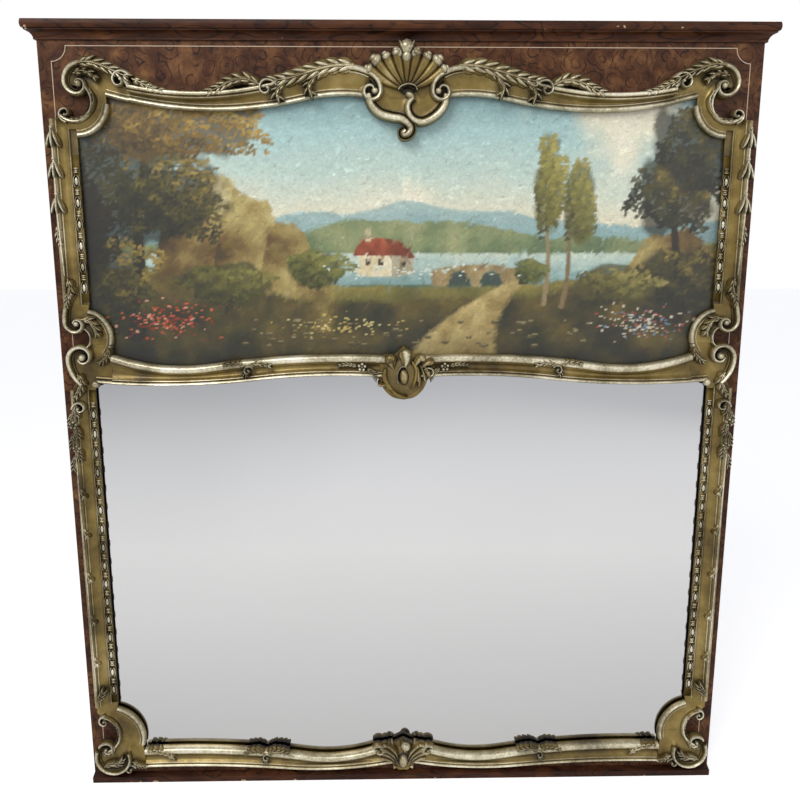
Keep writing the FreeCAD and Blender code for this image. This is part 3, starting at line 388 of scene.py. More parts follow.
def crown(picture, centre, half, count, seed, codes, size=(5.5, 2.6)):
    """A crown of leaves: touches laid from dark to light, lit from the upper right."""
    source = np.random.default_rng(seed)
    scale = shades(*codes)
    reach = np.hypot((across - centre[0]) / half[0], (up - centre[1]) / half[1])
    picture[:] = lay(picture, edge(0.95 - reach + 1.3 * (rough(16, seed) - 0.5), 0.2) * 0.85, scale[1])
    spots = []
    for _ in range(count):
        turn, out = source.uniform(0, 2 * math.pi), source.random() ** 0.55
        ragged = 1 + 0.2 * math.sin(3 * turn + seed) + 0.13 * math.sin(7 * turn + 2 * seed)
        u, v = out * ragged * math.cos(turn), out * ragged * math.sin(turn)
        clump = math.sin(9 * u + seed) * math.sin(8 * v + 1.7 * seed)
        spots.append((0.42 + 0.2 * u + 0.3 * v + 0.16 * clump + source.normal(0, 0.1),
                      centre[0] + u * half[0], centre[1] + v * half[1]))
    for light, x, z in sorted(spots):
        pick = min(max(light, 0), 0.999) * (len(codes) - 1)
        colour = scale[int(pick)] + (scale[int(pick) + 1] - scale[int(pick)]) * (pick % 1)
        stamp(picture, x, z, size[0] * source.uniform(0.7, 1.3), size[1], source.uniform(-0.6, 1.4),
              colour)


def limb(picture, start, end, thick, code):
    """A trunk or a branch, narrowing to its end."""
    (x0, z0), (x1, z1) = start, end
    run_x, run_z = x1 - x0, z1 - z0
    share = np.clip(((across - x0) * run_x + (up - z0) * run_z) / (run_x ** 2 + run_z ** 2), 0, 1)
    away = np.hypot(across - x0 - share * (x1 - x0) - 0.004 * np.sin(7 * share),
                    up - z0 - share * (z1 - z0))
    return lay(picture, edge(thick * (1 - 0.7 * share) - away, 0.002), shades(code)[0])


def patch(picture, corners, colour):
    """A flat shape with straight sides, corners anticlockwise."""
    mask = np.ones_like(across)
    for (x0, z0), (x1, z1) in zip(corners, corners[1:] + corners[:1]):
        reach = ((x1 - x0) * (up - z0) - (z1 - z0) * (across - x0)) / math.hypot(x1 - x0, z1 - z0)
        mask = np.minimum(mask, edge(reach, 0.002))
    return lay(picture, mask, colour)


# sky, clouds and two distant ridges
clouds, small = rough(4, 1, 5), rough(22, 2, 3)
picture = blend_of((1.36 - up) / 0.28 + 0.12 * (small - 0.5),
                   ["#8FB3B5", "#A6C4BF", "#BFD0C2", "#DDD9BE", "#E2D4AE"])
picture = lay(picture, edge(clouds - 0.52 + 0.5 * (up - 1.24) - 0.12 * (across < 0), 0.13) * 0.9,
              blend_of(1.5 * clouds - 0.25 + 0.3 * small, ["#A9AC98", "#C9C4A6", "#E6DEC0", "#EFE9D2"]))
ridge = 1.122 + 0.05 * rough(5, 3)[0][None, :] + 0.02 * np.sin(8 * across + 1)
picture = lay(picture, edge(ridge - up, 0.004), blend_of(0.5 + 9 * (up - 1.12) + 0.5 * (small - 0.5),
                                                         ["#86A39B", "#8EABA8", "#A9BDB4"]))
ridge = 1.092 + 0.045 * rough(8, 4)[0][None, :] + 0.02 * np.cos(6 * across)
picture = lay(picture, edge(ridge - up, 0.004), blend_of(rough(26, 5) + 5 * (up - 1.1),
                                                         ["#4D5F47", "#6C7C56", "#8D9468", "#A7A577"]))

# the lake, its far bank and the meadow before it
water = edge(1.078 - up, 0.003) * edge(up - 1.02, 0.003)
picture = lay(picture, water, blend_of(0.25 + 12 * (up - 1.03) + 0.5 * (rough(60, 6, 2) - 0.5),
                                       ["#6F8C86", "#8FAAA4", "#B4C6B8", "#CDD3BC"]))
bank = 1.028 + 0.014 * rough(14, 7)[0][None, :] - 0.02 * np.cos(4.4 * across)
picture = lay(picture, edge(bank - up, 0.005), blend_of(rough(18, 8) + 4 * (up - 0.99),
                                                        ["#3C3B1E", "#5F5A2C", "#857A3E", "#A3965A"]))

# a pale bluff left of the middle and a lower one on the right
grain = rough(9, 9, 5)
for middle, top, half in ((-0.36, 1.215, 0.085), (-0.285, 1.185, 0.06), (-0.215, 1.125, 0.055),
                          (-0.165, 1.07, 0.04), (0.50, 1.12, 0.10)):
    brow = 0.05 * (rough(24, 10)[0][None, :] - 0.5)
    reach = top - 0.10 * (np.abs(across - middle) / half) ** 3 + brow - up
    lit = 0.46 + 0.22 * (across - middle) / half + 1.3 * (grain - 0.5) + 0.7 * (rough(34, 11, 3) - 0.5)
    picture = lay(picture, edge(reach, 0.006) * edge(up - 1.0, 0.03),
                  blend_of(lit, ["#43341D", "#6E582F", "#94804B", "#B5A468", "#CFC08C"]))

# a mill by the water, with a tiled roof, and a bridge of two arches
wall = blend_of(rough(60, 12, 2) + 0.1, ["#B7A37A", "#D6C79E", "#E9DFBF"])
tile = blend_of(rough(80, 13, 2), ["#6B3220", "#95492D", "#B4633F"])
picture = patch(picture, [(-0.085, 1.035), (-0.022, 1.035), (-0.022, 1.078), (-0.085, 1.078)], wall)
picture = patch(picture, [(-0.022, 1.035), (0.018, 1.039), (0.018, 1.07), (-0.022, 1.078)], wall * 0.55)
picture = patch(picture, [(-0.094, 1.074), (-0.02, 1.074), (-0.036, 1.106), (-0.08, 1.106)], tile)
picture = patch(picture, [(-0.02, 1.074), (0.026, 1.067), (-0.002, 1.098), (-0.036, 1.106)], tile * 0.6)
picture = patch(picture, [(-0.07, 1.1), (-0.06, 1.1), (-0.06, 1.12), (-0.07, 1.12)], wall * 0.8)
for x, z in ((-0.07, 1.056), (-0.047, 1.056), (-0.006, 1.05)):
    picture = patch(picture, [(x, z), (x + 0.009, z), (x + 0.009, z + 0.012), (x, z + 0.012)],
                    shades("#2C2016")[0])
arches = np.minimum(np.hypot(across - 0.105, (up - 1.022) * 0.9) - 0.021,
                    np.hypot(across - 0.163, (up - 1.022) * 0.9) - 0.021)
span = edge(1.058 - 1.6 * (across - 0.134) ** 2 - up, 0.002) * edge(0.082 - np.abs(across - 0.134),
        0.004) * edge(up - 1.018, 0.003)
picture = lay(picture, span * edge(arches, 0.002), blend_of(rough(70, 14, 3),
                                                            ["#6E5C3C", "#978256", "#BCA777"]))
picture = lay(picture, span * (1 - edge(arches, 0.002)), shades("#39453C")[0])

# dark ground in front with a sandy track that leads to the bridge
ground = 0.978 + 0.03 * rough(6, 15)[0][None, :] + 0.16 * np.abs(across) ** 1.8
picture = lay(picture, edge(ground - up, 0.012), blend_of(rough(20, 16,
        5) * 1.2 - 0.2 + 2.2 * (up - 0.93), ["#17170D", "#2A2915", "#453D1E", "#645529", "#857442"]))
track_x = 0.215 - 1.5 * (1.03 - up) + 4.5 * (1.03 - up) ** 2
track = edge(0.012 + 0.5 * (1.03 - up) - np.abs(across - track_x), 0.012) * edge(1.026 - up, 0.008)
picture = lay(picture, track * 0.9, blend_of(rough(34, 17) + 0.05,
                                             ["#6F5A30", "#99834D", "#BFAA70", "#D2C28D"]))
dabs(picture, 2600, 8, 2.6, 0.10, 41)
dabs(picture, 2000, 12, 2.0, 0.07, 44)

# trees: a dark wood on the left, two airy trees on the right, bushes along the water
dark_leaves = ["#100F09", "#1D1E10", "#333218", "#524A22", "#7D6C35", "#A08A4A"]
warm_leaves = ["#2E2410", "#54411C", "#7F652C", "#A5873F", "#C2A65C", "#D3BD7B"]
for start, end, thick, code in (((-0.50, 0.93), (-0.47, 1.25), 0.016, "#1E150C"),
                                ((-0.47, 1.12), (-0.37, 1.26), 0.008, "#2A1D10"),
                                ((0.262, 0.985), (0.270, 1.25), 0.005, "#8E7C58"),
                                ((0.296, 0.98), (0.318, 1.22), 0.005, "#7A6746"),
                                ((0.515, 0.96), (0.50, 1.2), 0.012, "#241A0E")):
    picture = limb(picture, start, end, thick, code)
for centre, half, count, seed, codes in (
        ((-0.53, 1.24), (0.15, 0.15), 1500, 21, dark_leaves),
        ((-0.40, 1.31), (0.15, 0.07), 900, 22, warm_leaves),
        ((-0.42, 1.17), (0.10, 0.07), 600, 23, dark_leaves),
        ((-0.55, 1.02), (0.11, 0.08), 800, 24, dark_leaves),
        ((-0.33, 1.02), (0.08, 0.035), 400, 25, ["#1C1C0E", "#3A3A1B", "#63602C", "#8B8443"]),
        ((-0.155, 1.05), (0.06, 0.03), 260, 26, ["#22240F", "#474A20", "#75753A", "#9A9656"]),
        ((0.268, 1.20), (0.030, 0.085), 420, 27, ["#3B3A1A", "#66622D", "#8F8742", "#B3A75E"]),
        ((0.322, 1.165), (0.026, 0.07), 320, 28, ["#34341A", "#5C5A2B", "#857E40", "#A89C58"]),
        ((0.49, 1.19), (0.075, 0.075), 900, 29, dark_leaves),
        ((0.56, 1.27), (0.085, 0.09), 1000, 30, dark_leaves),
        ((0.535, 1.03), (0.09, 0.06), 650, 31, dark_leaves),
        ((0.40, 1.02), (0.07, 0.03), 350, 32, ["#272412", "#4B4722", "#797039", "#A3955A"]),
        ((0.235, 1.045), (0.03, 0.02), 120, 33, ["#2B2F16", "#565B2C", "#868447"]),
        ((-0.58, 1.13), (0.05, 0.10), 400, 34, ["#0E0D08", "#1D1A0E", "#332B16"])):
    crown(picture, centre, half, count, seed, codes)
dabs(picture, 5000, 4.0, 1.5, 0.14, 43)

# flowers, stones and glints on the water last
touch = np.random.default_rng(51)
for middle, low, spread, high, count, codes in (
        (-0.44, 0.955, 0.09, 0.03, 170, ["#A8412A", "#C8643F", "#D9A08A", "#7F2C20"]),
        (0.45, 0.95, 0.09, 0.03, 150, ["#C7B9A0", "#A8514A", "#D8CDB6", "#6F8494"]),
        (-0.12, 0.945, 0.10, 0.018, 90, ["#BFA85E", "#D9C98A", "#8C7440"]),
        (0.02, 1.045, 0.16, 0.012, 60, ["#DDE0CC", "#C3D0C2"])):
    pool = shades(*codes)
    for _ in range(count):
        colour = pool[touch.integers(0, len(codes))]
        stamp(picture, middle + touch.normal(0, spread * 0.5), low + touch.normal(0, high * 0.5),
              touch.uniform(2.0, 4.0), 1.5, touch.uniform(-0.3, 0.3), colour, 0.9)
for _ in range(60):
    x, z = touch.uniform(-0.3, 0.35), touch.uniform(0.905, 0.955)
    size = touch.uniform(4, 9)
    stamp(picture, x, z, size, size * 0.5, 0.1, shades("#4A4127")[0] * touch.uniform(0.7, 1.2))
    stamp(picture, x + 0.001, z + 0.002, size * 0.7, size * 0.22, 0.1,
          shades("#A3946A")[0] * touch.uniform(0.6, 1.0))
shade_at_rim = np.clip(np.minimum(half_span - np.abs(across),
                                  np.minimum(up - foot, head - up) * 1.6) / 0.12, 0, 1)
picture *= (0.55 + 0.45 * shade_at_rim)[..., None]

xs = np.linspace(-paint_half_w, paint_half_w, columns + 1)
zs = np.linspace(paint_low, paint_high, rows_up + 1)
front_y = canvas_low[1] - paint_t
points = [(x, front_y, z) for z in zs for x in xs]
wide = columns + 1
cells = [(r * wide + c, r * wide + c + 1, (r + 1) * wide + c + 1, (r + 1) * wide + c)
         for r in range(rows_up) for c in range(columns)]
rim_loop = ([c for c in range(columns)] + [r * wide + columns for r in range(rows_up)]
            + [rows_up * wide + c for c in range(columns, 0, -1)] + [r * wide for r in range(rows_up, 0,
                    -1)])
back_start = len(points)
points += [(points[i][0], canvas_low[1], points[i][2]) for i in rim_loop]
count = len(rim_loop)
cells += [(rim_loop[(i + 1) % count], rim_loop[i], back_start + i,
           back_start + (i + 1) % count) for i in range(count)]
cells.append(tuple(back_start + i for i in range(count - 1, -1, -1)))
paint_mesh = bpy.data.meshes.new("oil_paint")
paint_mesh.from_pydata(points, [], cells)
colours = np.ones((len(points), 4), dtype=np.float32)
place = np.array(points)
column = np.clip(((place[:, 0] + half_span) / 1.2 * (grid_w - 1)).astype(int), 0, grid_w - 1)
row = np.clip(((place[:, 2] - foot) / 0.506 * (grid_h - 1)).astype(int), 0, grid_h - 1)
colours[:, :3] = picture[row, column]
paint_mesh.attributes.new("pigment", "FLOAT_COLOR", "POINT").data.foreach_set("color", colours.ravel())
oil_paint = set_out("oil_paint", paint_mesh)
varnished, tree, shader = finish_of("varnished_oil_paint")
pigment = node(tree, "ShaderNodeAttribute", attribute_name="pigment").outputs["Color"]
place = node(tree, "ShaderNodeTexCoord").outputs["Object"]
ridges = node(tree, "ShaderNodeTexNoise", {"Vector": place, "Scale": 240.0, "Detail": 4.0,
                                           "Distortion": 1.5})
cracks = node(tree, "ShaderNodeTexVoronoi", {"Vector": place, "Scale": 95.0}, feature="DISTANCE_TO_EDGE")
crack_line = node(tree, "ShaderNodeMath", {0: cracks, 1: 0.03}, operation="LESS_THAN")
broken = node(tree, "ShaderNodeMapRange", {0: ridges, 1: 0.3, 2: 0.7, 3: 0.9, 4: 1.08})
toned = node(tree, "ShaderNodeVectorMath", {0: pigment, 3: broken}, operation="SCALE")
crazed = node(tree, "ShaderNodeMix", {0: node(tree, "ShaderNodeMath", {0: crack_line, 1: 0.14},
                                              operation="MULTIPLY"),
                                      6: toned, 7: paint("#1A140C")}, data_type="RGBA")
plug(shader, {"Base Color": crazed})
relief = node(tree, "ShaderNodeMath", {0: crack_line, 1: -0.5, 2: ridges}, operation="MULTIPLY_ADD")
plug(shader, {"Normal": node(tree, "ShaderNodeBump",
                             {"Height": relief, "Strength": 0.35, "Distance": 0.0004}),
              "Roughness": 0.42})
paint_mesh.materials.append(varnished)
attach(oil_paint, "frame")


# ---- Water gilding ------------------------------------------------------------------------------
# Carved limewood under gesso, red bole and leaf gold, toned, rubbed and dirty. The crests are
# worn to a silvery cream that also serves as their painted highlight, the hollows keep a smooth
# ochre gold, and the cuts, feet and nooks are darkened by grime and by painted shade.
gilding, tree, shader = finish_of("worn_water_gilding")
place = node(tree, "ShaderNodeTexCoord").outputs["Object"]
crest = node(tree, "ShaderNodeAttribute", attribute_name="crest").outputs["Fac"]
patches = node(tree, "ShaderNodeTexNoise", {"Vector": place, "Scale": 14.0, "Detail": 6.0,
                                            "Roughness": 0.6})
flecks = node(tree, "ShaderNodeTexNoise", {"Vector": place, "Scale": 210.0, "Detail": 4.0,
                                           "Roughness": 0.6})
gold = node(tree, "ShaderNodeValToRGB", {0: patches},
            stops=[(0.32, "#483A1A"), (0.46, "#6A5726"), (0.58, "#826E38"), (0.72, "#998450")])
spread = node(tree, "ShaderNodeMath", {0: flecks, 1: 0.5, 2: patches}, operation="MULTIPLY_ADD")
exposed = node(tree, "ShaderNodeMath", {0: spread, 1: 0.7, 2: crest}, operation="MULTIPLY_ADD")
# wear and painted highlight: high crests and flecks turn the gold to a silvery cream
wear_and_highlight = node(tree, "ShaderNodeMapRange", {0: exposed, 1: 0.8, 2: 1.6})
silvery = node(tree, "ShaderNodeValToRGB", {0: spread},
               stops=[(0.5, "#77705F"), (0.64, "#A29A80"), (0.76, "#C6BEA2"), (0.92, "#E4DDC6")])
rubbed_and_highlit = node(tree, "ShaderNodeMix", {0: wear_and_highlight, 6: gold, 7: silvery}, data_type="RGBA")
# painted shade and grime: low crests (grooves, walls and feet) and ambient occlusion darken the gold
# towards near black and take its metal away
sunk_dirt_and_shade = node(tree, "ShaderNodeMapRange", {0: exposed, 1: 0.22, 2: -0.3})
occluded_share = node(tree, "ShaderNodeAmbientOcclusion", {"Distance": 0.016}, samples=6,
              only_local=True).outputs["AO"]
nook_shade = node(tree, "ShaderNodeMapRange", {0: occluded_share, 1: 0.74, 2: 0.26})
grime_and_shade = node(tree, "ShaderNodeMath", {0: sunk_dirt_and_shade, 1: nook_shade}, operation="MAXIMUM")
dirty_and_shaded = node(tree, "ShaderNodeMix", {0: grime_and_shade, 6: rubbed_and_highlit, 7: paint("#20180D")}, data_type="RGBA")
plug(shader, {"Base Color": dirty_and_shaded, "Metallic": node(tree, "ShaderNodeMapRange",
                                                    {0: grime_and_shade, 3: 0.5, 4: 0.0})})
sheen = node(tree, "ShaderNodeMapRange", {0: flecks, 1: 0.35, 2: 0.65, 3: 0.28, 4: 0.42})
plug(shader, {"Roughness": node(tree, "ShaderNodeMath", {0: grime_and_shade, 1: 0.35, 2: sheen},
                                operation="MULTIPLY_ADD"),
              "Normal": node(tree, "ShaderNodeBump",
                             {"Height": spread, "Strength": 0.16, "Distance": 0.0008})})

board_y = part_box("burl_veneer")[0][1]
cut_angle = 1.0                                  # a cut sharper than this, in radians, stays crisp


class Carving:
    """One gilt length: closed strokes and hollowed grounds gathered into a single mesh."""

    def __init__(self):
        self.points, self.faces, self.crests = [], [], []

    def rings(self, rings, crests):
        """A closed skin over rings of (across, up, height) in millimetres."""
        first = len(self.points)
        size = len(crests)
        for ring in rings:
            self.points += [tuple(point) for point in ring]
            self.crests += list(crests)
        for r in range(len(rings) - 1):
            for i in range(size):
                a, b = first + r * size + i, first + r * size + (i + 1) % size
                self.faces.append((a, b, b + size, a + size))
        last = first + (len(rings) - 1) * size
        self.faces.append(tuple(first + i for i in range(size - 1, -1, -1)))
        self.faces.append(tuple(last + i for i in range(size)))

    def stroke(self, line, section, wide=1.0, high=1.0, bright=1.0):
        """Carries a section (across, height, crest) along a line of points."""
        line = np.asarray(line, float)
        run = np.gradient(line, axis=0)
        run /= np.maximum(np.hypot(run[:, 0], run[:, 1]), 1e-9)[:, None]
        left = np.stack([-run[:, 1], run[:, 0]], 1)
        wide, high = (np.broadcast_to(v, len(line)) for v in (wide, high))
        rings = [[(*(p + n * a * w), d * h) for a, d, _ in section]
                 for p, n, w, h in zip(line, left, wide, high)]
        self.rings(rings, [c * bright if c > 0 else c for _, _, c in section])

    def ground(self, outline, rims, low, high, reach=12.0):
        """A web that is hollowed with the gouge: it rises from low to high beside its rims."""
        cell = 3.2                               # fine enough for the hollow to look smooth
        corners = np.asarray([tuple(p) for p in outline], float)
        keep = np.hypot(*(corners - np.roll(corners, 1, 0)).T) > 0.4
        corners = corners[keep]
        loop = []
        for a, b in zip(corners, np.roll(corners, -1, 0)):
            parts = max(1, int(np.hypot(*(b - a)) / cell))
            loop += [a + (b - a) * i / parts for i in range(parts)]
        loop = np.array(loop)
        (x0, z0), (x1, z1) = loop.min(0), loop.max(0)
        spots = np.stack(np.meshgrid(np.arange(x0 + 1, x1, cell), np.arange(z0 + 1, z1, cell)),
                         -1).reshape(-1, 2)
        after = np.roll(loop, -1, 0)
        rises = (loop[None, :, 1] > spots[:, None, 1]) != (after[None, :, 1] > spots[:, None, 1])
        slope = (after[:, 0] - loop[:, 0]) / np.where(after[:, 1] == loop[:, 1], 1e-9,
                                                      after[:, 1] - loop[:, 1])
        cuts = spots[:, None, 0] < loop[None, :, 0] + slope * (spots[:, None, 1] - loop[None, :, 1])
        inside = (rises & cuts).sum(1) % 2 == 1
        spots = spots[inside & (distance_to(spots, [np.vstack([loop, loop[:1]])]) > 0.5 * cell)]
        every = [Vector(p) for p in loop] + [Vector(p) for p in spots]
        flat, _, faces, *_ = delaunay_2d_cdt(every, [], [list(range(len(loop)))], 1, 1e-5)
        flat = np.array([tuple(p) for p in flat])
        near = distance_to(flat, rims) if rims else np.full(len(flat), reach)
        tops = low + (high - low) * np.clip(1 - near / reach, 0, 1) ** 2
        first, count = len(self.points), len(flat)
        self.points += [(x, z, h) for (x, z), h in zip(flat, tops)] + [(x, z, 0.0) for x, z in flat]
        self.crests += [0.05] * count + [-1.0] * count
        sides = {}
        for face in faces:
            self.faces.append(tuple(first + i for i in face))
            self.faces.append(tuple(first + count + i for i in reversed(face)))
            for a, b in zip(face, face[1:] + face[:1]):
                if (b, a) in sides:
                    del sides[(b, a)]
                else:
                    sides[(a, b)] = 1
        for a, b in sides:
            self.faces.append((first + b, first + a, first + count + a, first + count + b))

    def dome(self, x, z, wide, tall, low, high, turn=0.0, crest=0.75, sides=18):
        """A rounded boss or cabochon."""
        s, c = math.sin(math.radians(turn)), math.cos(math.radians(turn))
        first = len(self.points)
        rings = []
        for share, lift in ((1.0, 0.0), (1.0, 0.35), (0.93, 0.6), (0.75, 0.83), (0.45, 0.97),
                            (0.12, 1.0)):
            ring = []
            for i in range(sides):
                a = 2 * math.pi * i / sides
                u, v = share * wide * math.cos(a), share * tall * math.sin(a)
                ring.append((x + u * c - v * s, z + u * s + v * c, low + lift * (high - low)))
            rings.append(ring)
        self.rings(rings, [crest] * sides)
        # the foot of the dome takes a low crest, which darkens it with painted shade and grime where it
        # meets the ground
        for i in range(2 * sides):
            self.crests[first + i] = -0.9

    def mesh(self, name, back, side=1, crisp=True):
        """The closed, gilded mesh, standing on a plane back metres behind the origin."""
        made = bpy.data.meshes.new(name)
        made.from_pydata([(side * x / 1000, back - h / 1000, z / 1000) for x, z, h in self.points], [],
                         self.faces)
        made.attributes.new("crest", "FLOAT", "POINT").data.foreach_set("value", self.crests)
        shaped = bmesh.new()
        shaped.from_mesh(made)
        bmesh.ops.recalc_face_normals(shaped, faces=shaped.faces)
        for face in shaped.faces:
            face.smooth = True
        for line in shaped.edges:
            line.smooth = not crisp or len(line.link_faces) == 2 and line.calc_face_angle(0) < cut_angle
        shaped.to_mesh(made)
        shaped.free()
        made.materials.append(gilding)
        return made

    def piece(self, name, nodes, flip=False):
        """The finished length, in place of its plain nodes."""
        put_on(set_out(name, self.mesh(name, board_y, -1 if flip else 1)), nodes)


def put_on(carved, nodes):
    """Fixes a gilded piece to the board in place of its plain nodes."""
    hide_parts(*nodes)
    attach(carved, "frame")


def distance_to(spots, lines):
    """How far each spot is from the nearest of some lines."""
    best = np.full(len(spots), 1e9)
    for line in lines:
        line = np.asarray(line, float)
        for a, b in zip(line[:-1], line[1:]):
            along = b - a
            share = np.clip(((spots - a) @ along) / max(along @ along, 1e-9), 0, 1)
            best = np.minimum(best, np.hypot(*(spots - a - share[:, None] * along).T))
    return best


def arcs(start, heading, moves):
    """Points of a line made of tangent arcs: (radius, turn) moves, a positive turn to the left."""
    x, z = start
    heading = math.radians(heading)
    found = [(x, z)]
    for radius, turn in moves:
        side = 1 if turn > 0 else -1
        cx, cz = x - side * radius * math.sin(heading), z + side * radius * math.cos(heading)
        count = max(2, int(abs(turn) / 7.0), int(math.radians(abs(turn)) * radius / 10))
        for i in range(1, count + 1):
            angle = heading + math.radians(turn) * i / count
            found.append((cx + side * radius * math.sin(angle), cz - side * radius * math.cos(angle)))
        (x, z), heading = found[-1], heading + math.radians(turn)
    return np.array(found)


def bow(centre, r, first, last):
    """Points of a round stretch between two bearings."""
    count = max(3, int(abs(last - first) / 6.0))
    turns = np.radians(np.linspace(first, last, count + 1))
    return np.stack([centre[0] + r * np.cos(turns), centre[1] + r * np.sin(turns)], 1)


def wave_z(x, near, far, r_near):
    """Height of a waving roll at distances x out from the middle."""
    x = np.asarray(x, float)
    dx, dz = far[0] - near[0], abs(far[1] - near[1])
    both = (dx * dx + dz * dz) / (2 * dz)
    r_far = both - r_near
    side = -1 if near[1] > far[1] else 1
    turn_x = near[0] + r_near * dx / both
    close = near[1] + side * (r_near - np.sqrt(np.maximum(r_near ** 2 - (x - near[0]) ** 2, 0)))
    beyond = far[1] - side * (r_far - np.sqrt(np.maximum(r_far ** 2 - (x - far[0]) ** 2, 0)))
    return np.where(x < turn_x, close, beyond)


def smooth(rows, per=8):
    """A smooth run through rows of values, as many columns as each row has."""
    rows = np.asarray(rows, float)
    padded = np.vstack([2 * rows[0] - rows[1], rows, 2 * rows[-1] - rows[-2]])
    found = []
    for i in range(1, len(rows)):
        p0, p1, p2, p3 = padded[i - 1:i + 3]
        for t in np.linspace(0, 1, per, endpoint=False):
            found.append(0.5 * (2 * p1 + (p2 - p0) * t + (2 * p0 - 5 * p1 + 4 * p2 - p3) * t * t
                                + (3 * p1 - p0 - 3 * p2 + p3) * t ** 3))
    found.append(rows[-1])
    return np.array(found)


def half_round(width, height, foot):
    """Section of a roll: (across, height, crest)."""
    rows = [(-width / 2, 0, -1), (-width / 2, foot, -0.6)]
    for i in range(9):
        a = math.pi * (1 - i / 8)
        rows.append((width / 2 * math.cos(a), foot + (height - foot) * math.sin(a) ** 0.8,
                     1.1 * math.sin(a) - 0.2))
    return rows + [(width / 2, foot, -0.6), (width / 2, 0, -1)]


def turned_over(section):
    """The same section turned left for right."""
    return [(-a, d, c) for a, d, c in reversed(section)]


# a rim of a volute: a fine line inside, a quirk, then the broad outer roll
fluted = [(-1, 0, -1), (-1, 0.42, -0.7), (-0.95, 0.6, 0.2), (-0.8, 0.68, 0.75), (-0.66, 0.62, 0.3),
          (-0.58, 0.5, -0.9),
          (-0.46, 0.54, -0.6), (-0.3, 0.82, 0.4), (-0.02, 0.98, 0.95), (0.35, 1, 1), (0.7, 0.86, 0.7),
          (0.93, 0.6, 0.1),
          (1, 0.35, -0.6), (1, 0, -1)]
# one finger of a leaf: its leading edge stands up, its trailing edge dips under the next
finger = [(-1, 0, -1), (-1, 0.5, -0.5), (-0.78, 0.84, 0.4), (-0.42, 0.99, 0.9), (-0.1, 1, 0.9),
          (0.2, 0.93, 0.6), (0.42, 0.82, 0.0),
          (0.6, 0.84, 0.5), (0.82, 0.76, 0.4), (1, 0.5, -0.5), (1, 0, -1)]
# a reeded rib or vein
reed = [(-1, 0, -1), (-1, 0.5, -0.5), (-0.72, 0.88, 0.5), (-0.3, 0.99, 0.95), (0.1, 1, 0.95),
        (0.5, 0.95, 0.7), (0.8, 0.8, 0.2),
        (1, 0.5, -0.5), (1, 0, -1)]


def scroll(carving, line, width, height, tip, outer=1):
    """The rim of a volute, which narrows as it winds in to its eye."""
    share = np.linspace(0, 1, len(line))
    section = fluted if outer > 0 else turned_over(fluted)
    carving.stroke(line, section, wide=width / 2 * (1 - (1 - tip) * share ** 1.3),
                   high=height * (1 + 0.12 * share ** 2))


def acanthus(carving, spine, reach, lobes, top, thick=4.4, lean=(38, 22), sides=(-1, 1)):
    """An acanthus leaf: fingers that leave both sides of the midrib and bend along with it."""
    lobes = int(1.4 * lobes)
    spine = smooth(spine, 10)[:, :2]
    run = np.gradient(spine, axis=0)
    apart = np.hypot(run[:, 0], run[:, 1]).sum() / lobes
    run /= np.hypot(run[:, 0], run[:, 1])[:, None]
    thick = max(thick, 0.44 * apart)
    for i in range(lobes):
        share = (i + 0.2) / lobes
        at = int(share * (len(spine) - 1))
        long = reach * (0.85 + 0.5 * math.sin(math.pi * (0.1 + 0.8 * share))) * (1 - 0.25 * share)
        for side in sides:
            x, z = spine[at]
            heading = math.atan2(run[at][1], run[at][0]) + side * math.radians(lean[0])
            rows = []
            for along, girth, lift in ((0.0, 0.6, 0.82), (0.25, 1.0, 0.95), (0.55, 0.95, 1.0),
                                       (0.85, 0.55, 0.97), (1.0, 0.15, 0.84)):
                turned = heading - side * math.radians((lean[0] - lean[1]) * along)
                rows.append((x + math.cos(turned) * along * long, z + math.sin(turned) * along * long,
                             girth, lift))
            rows = smooth(rows, 4)
            carving.stroke(rows[:, :2], finger if side > 0 else turned_over(finger),
                           wide=rows[:, 2] * thick * (1 - 0.3 * share), bright=0.8,
                           high=rows[:, 3] * top * (0.9 + 0.08 * share))
    share = np.linspace(0, 1, len(spine))
    carving.stroke(spine, reed, wide=reach * 0.4 * np.sin(math.pi * (0.12 + 0.84 * share)),
                   high=0.84 * top, bright=0.3)
    carving.stroke(spine, reed, wide=thick * (0.5 - 0.2 * share),
                   high=top * (0.93 + 0.05 * np.sin(math.pi * share)), bright=0.6)


def curl(carving, start, heading, r, hand, top, width):
    """A leaf tip that rolls over into a tight curl."""
    line = arcs(start, heading, [(r * 1.5, hand * 60), (r, hand * 110), (r * 0.62, hand * 110),
                                 (r * 0.4, hand * 90)])
    scroll(carving, line, width, top * 0.88, 0.5, outer=-hand)
    carving.dome(*line[-1], r * 0.34, r * 0.34, 6, top)


def flower(carving, x, z, r, top):
    """Five round petals about an eye."""
    petals = 5
    for i in range(petals):
        turn = 2 * math.pi * i / petals + 0.4
        carving.dome(x + r * 0.62 * math.cos(turn), z + r * 0.62 * math.sin(turn), r * 0.42, r * 0.42,
                     4, top - 2, crest=0.9, sides=8)
    carving.dome(x, z, r * 0.3, r * 0.3, 4, top, crest=0.5, sides=8)


# ---- Top rail -----------------------------------------------------------------------------------
# Two lengths that rise from the corners to the crest, each ending there in a volute. A plain
# roll frames the painting, a broad hollow climbs from it, and a heavy rim closes the top.
crest_x, sight_x = 5.0, 580.0
top_rim = dict(near=(105.0, 1399.0), far=(370.0, 1355.0), r_near=238.0)
top_sight = dict(near=(112.0, 1357.5), far=(340.0, 1331.0), r_near=294.0)
top_joint = sight_x - 97


def band(carving, lower, upper, section):
    """A moulding between two lines: section rows are (offset, share of the width, height, crest)."""
    rings = []
    for (x0, z0), (x1, z1) in zip(lower, upper):
        long = math.hypot(x1 - x0, z1 - z0)
        ux, uz = (x1 - x0) / long, (z1 - z0) / long
        rings.append([(x0 + ux * (a + b * long), z0 + uz * (a + b * long), d) for a, b, d, _ in section])
    carving.rings(rings, [c for *_, c in section])


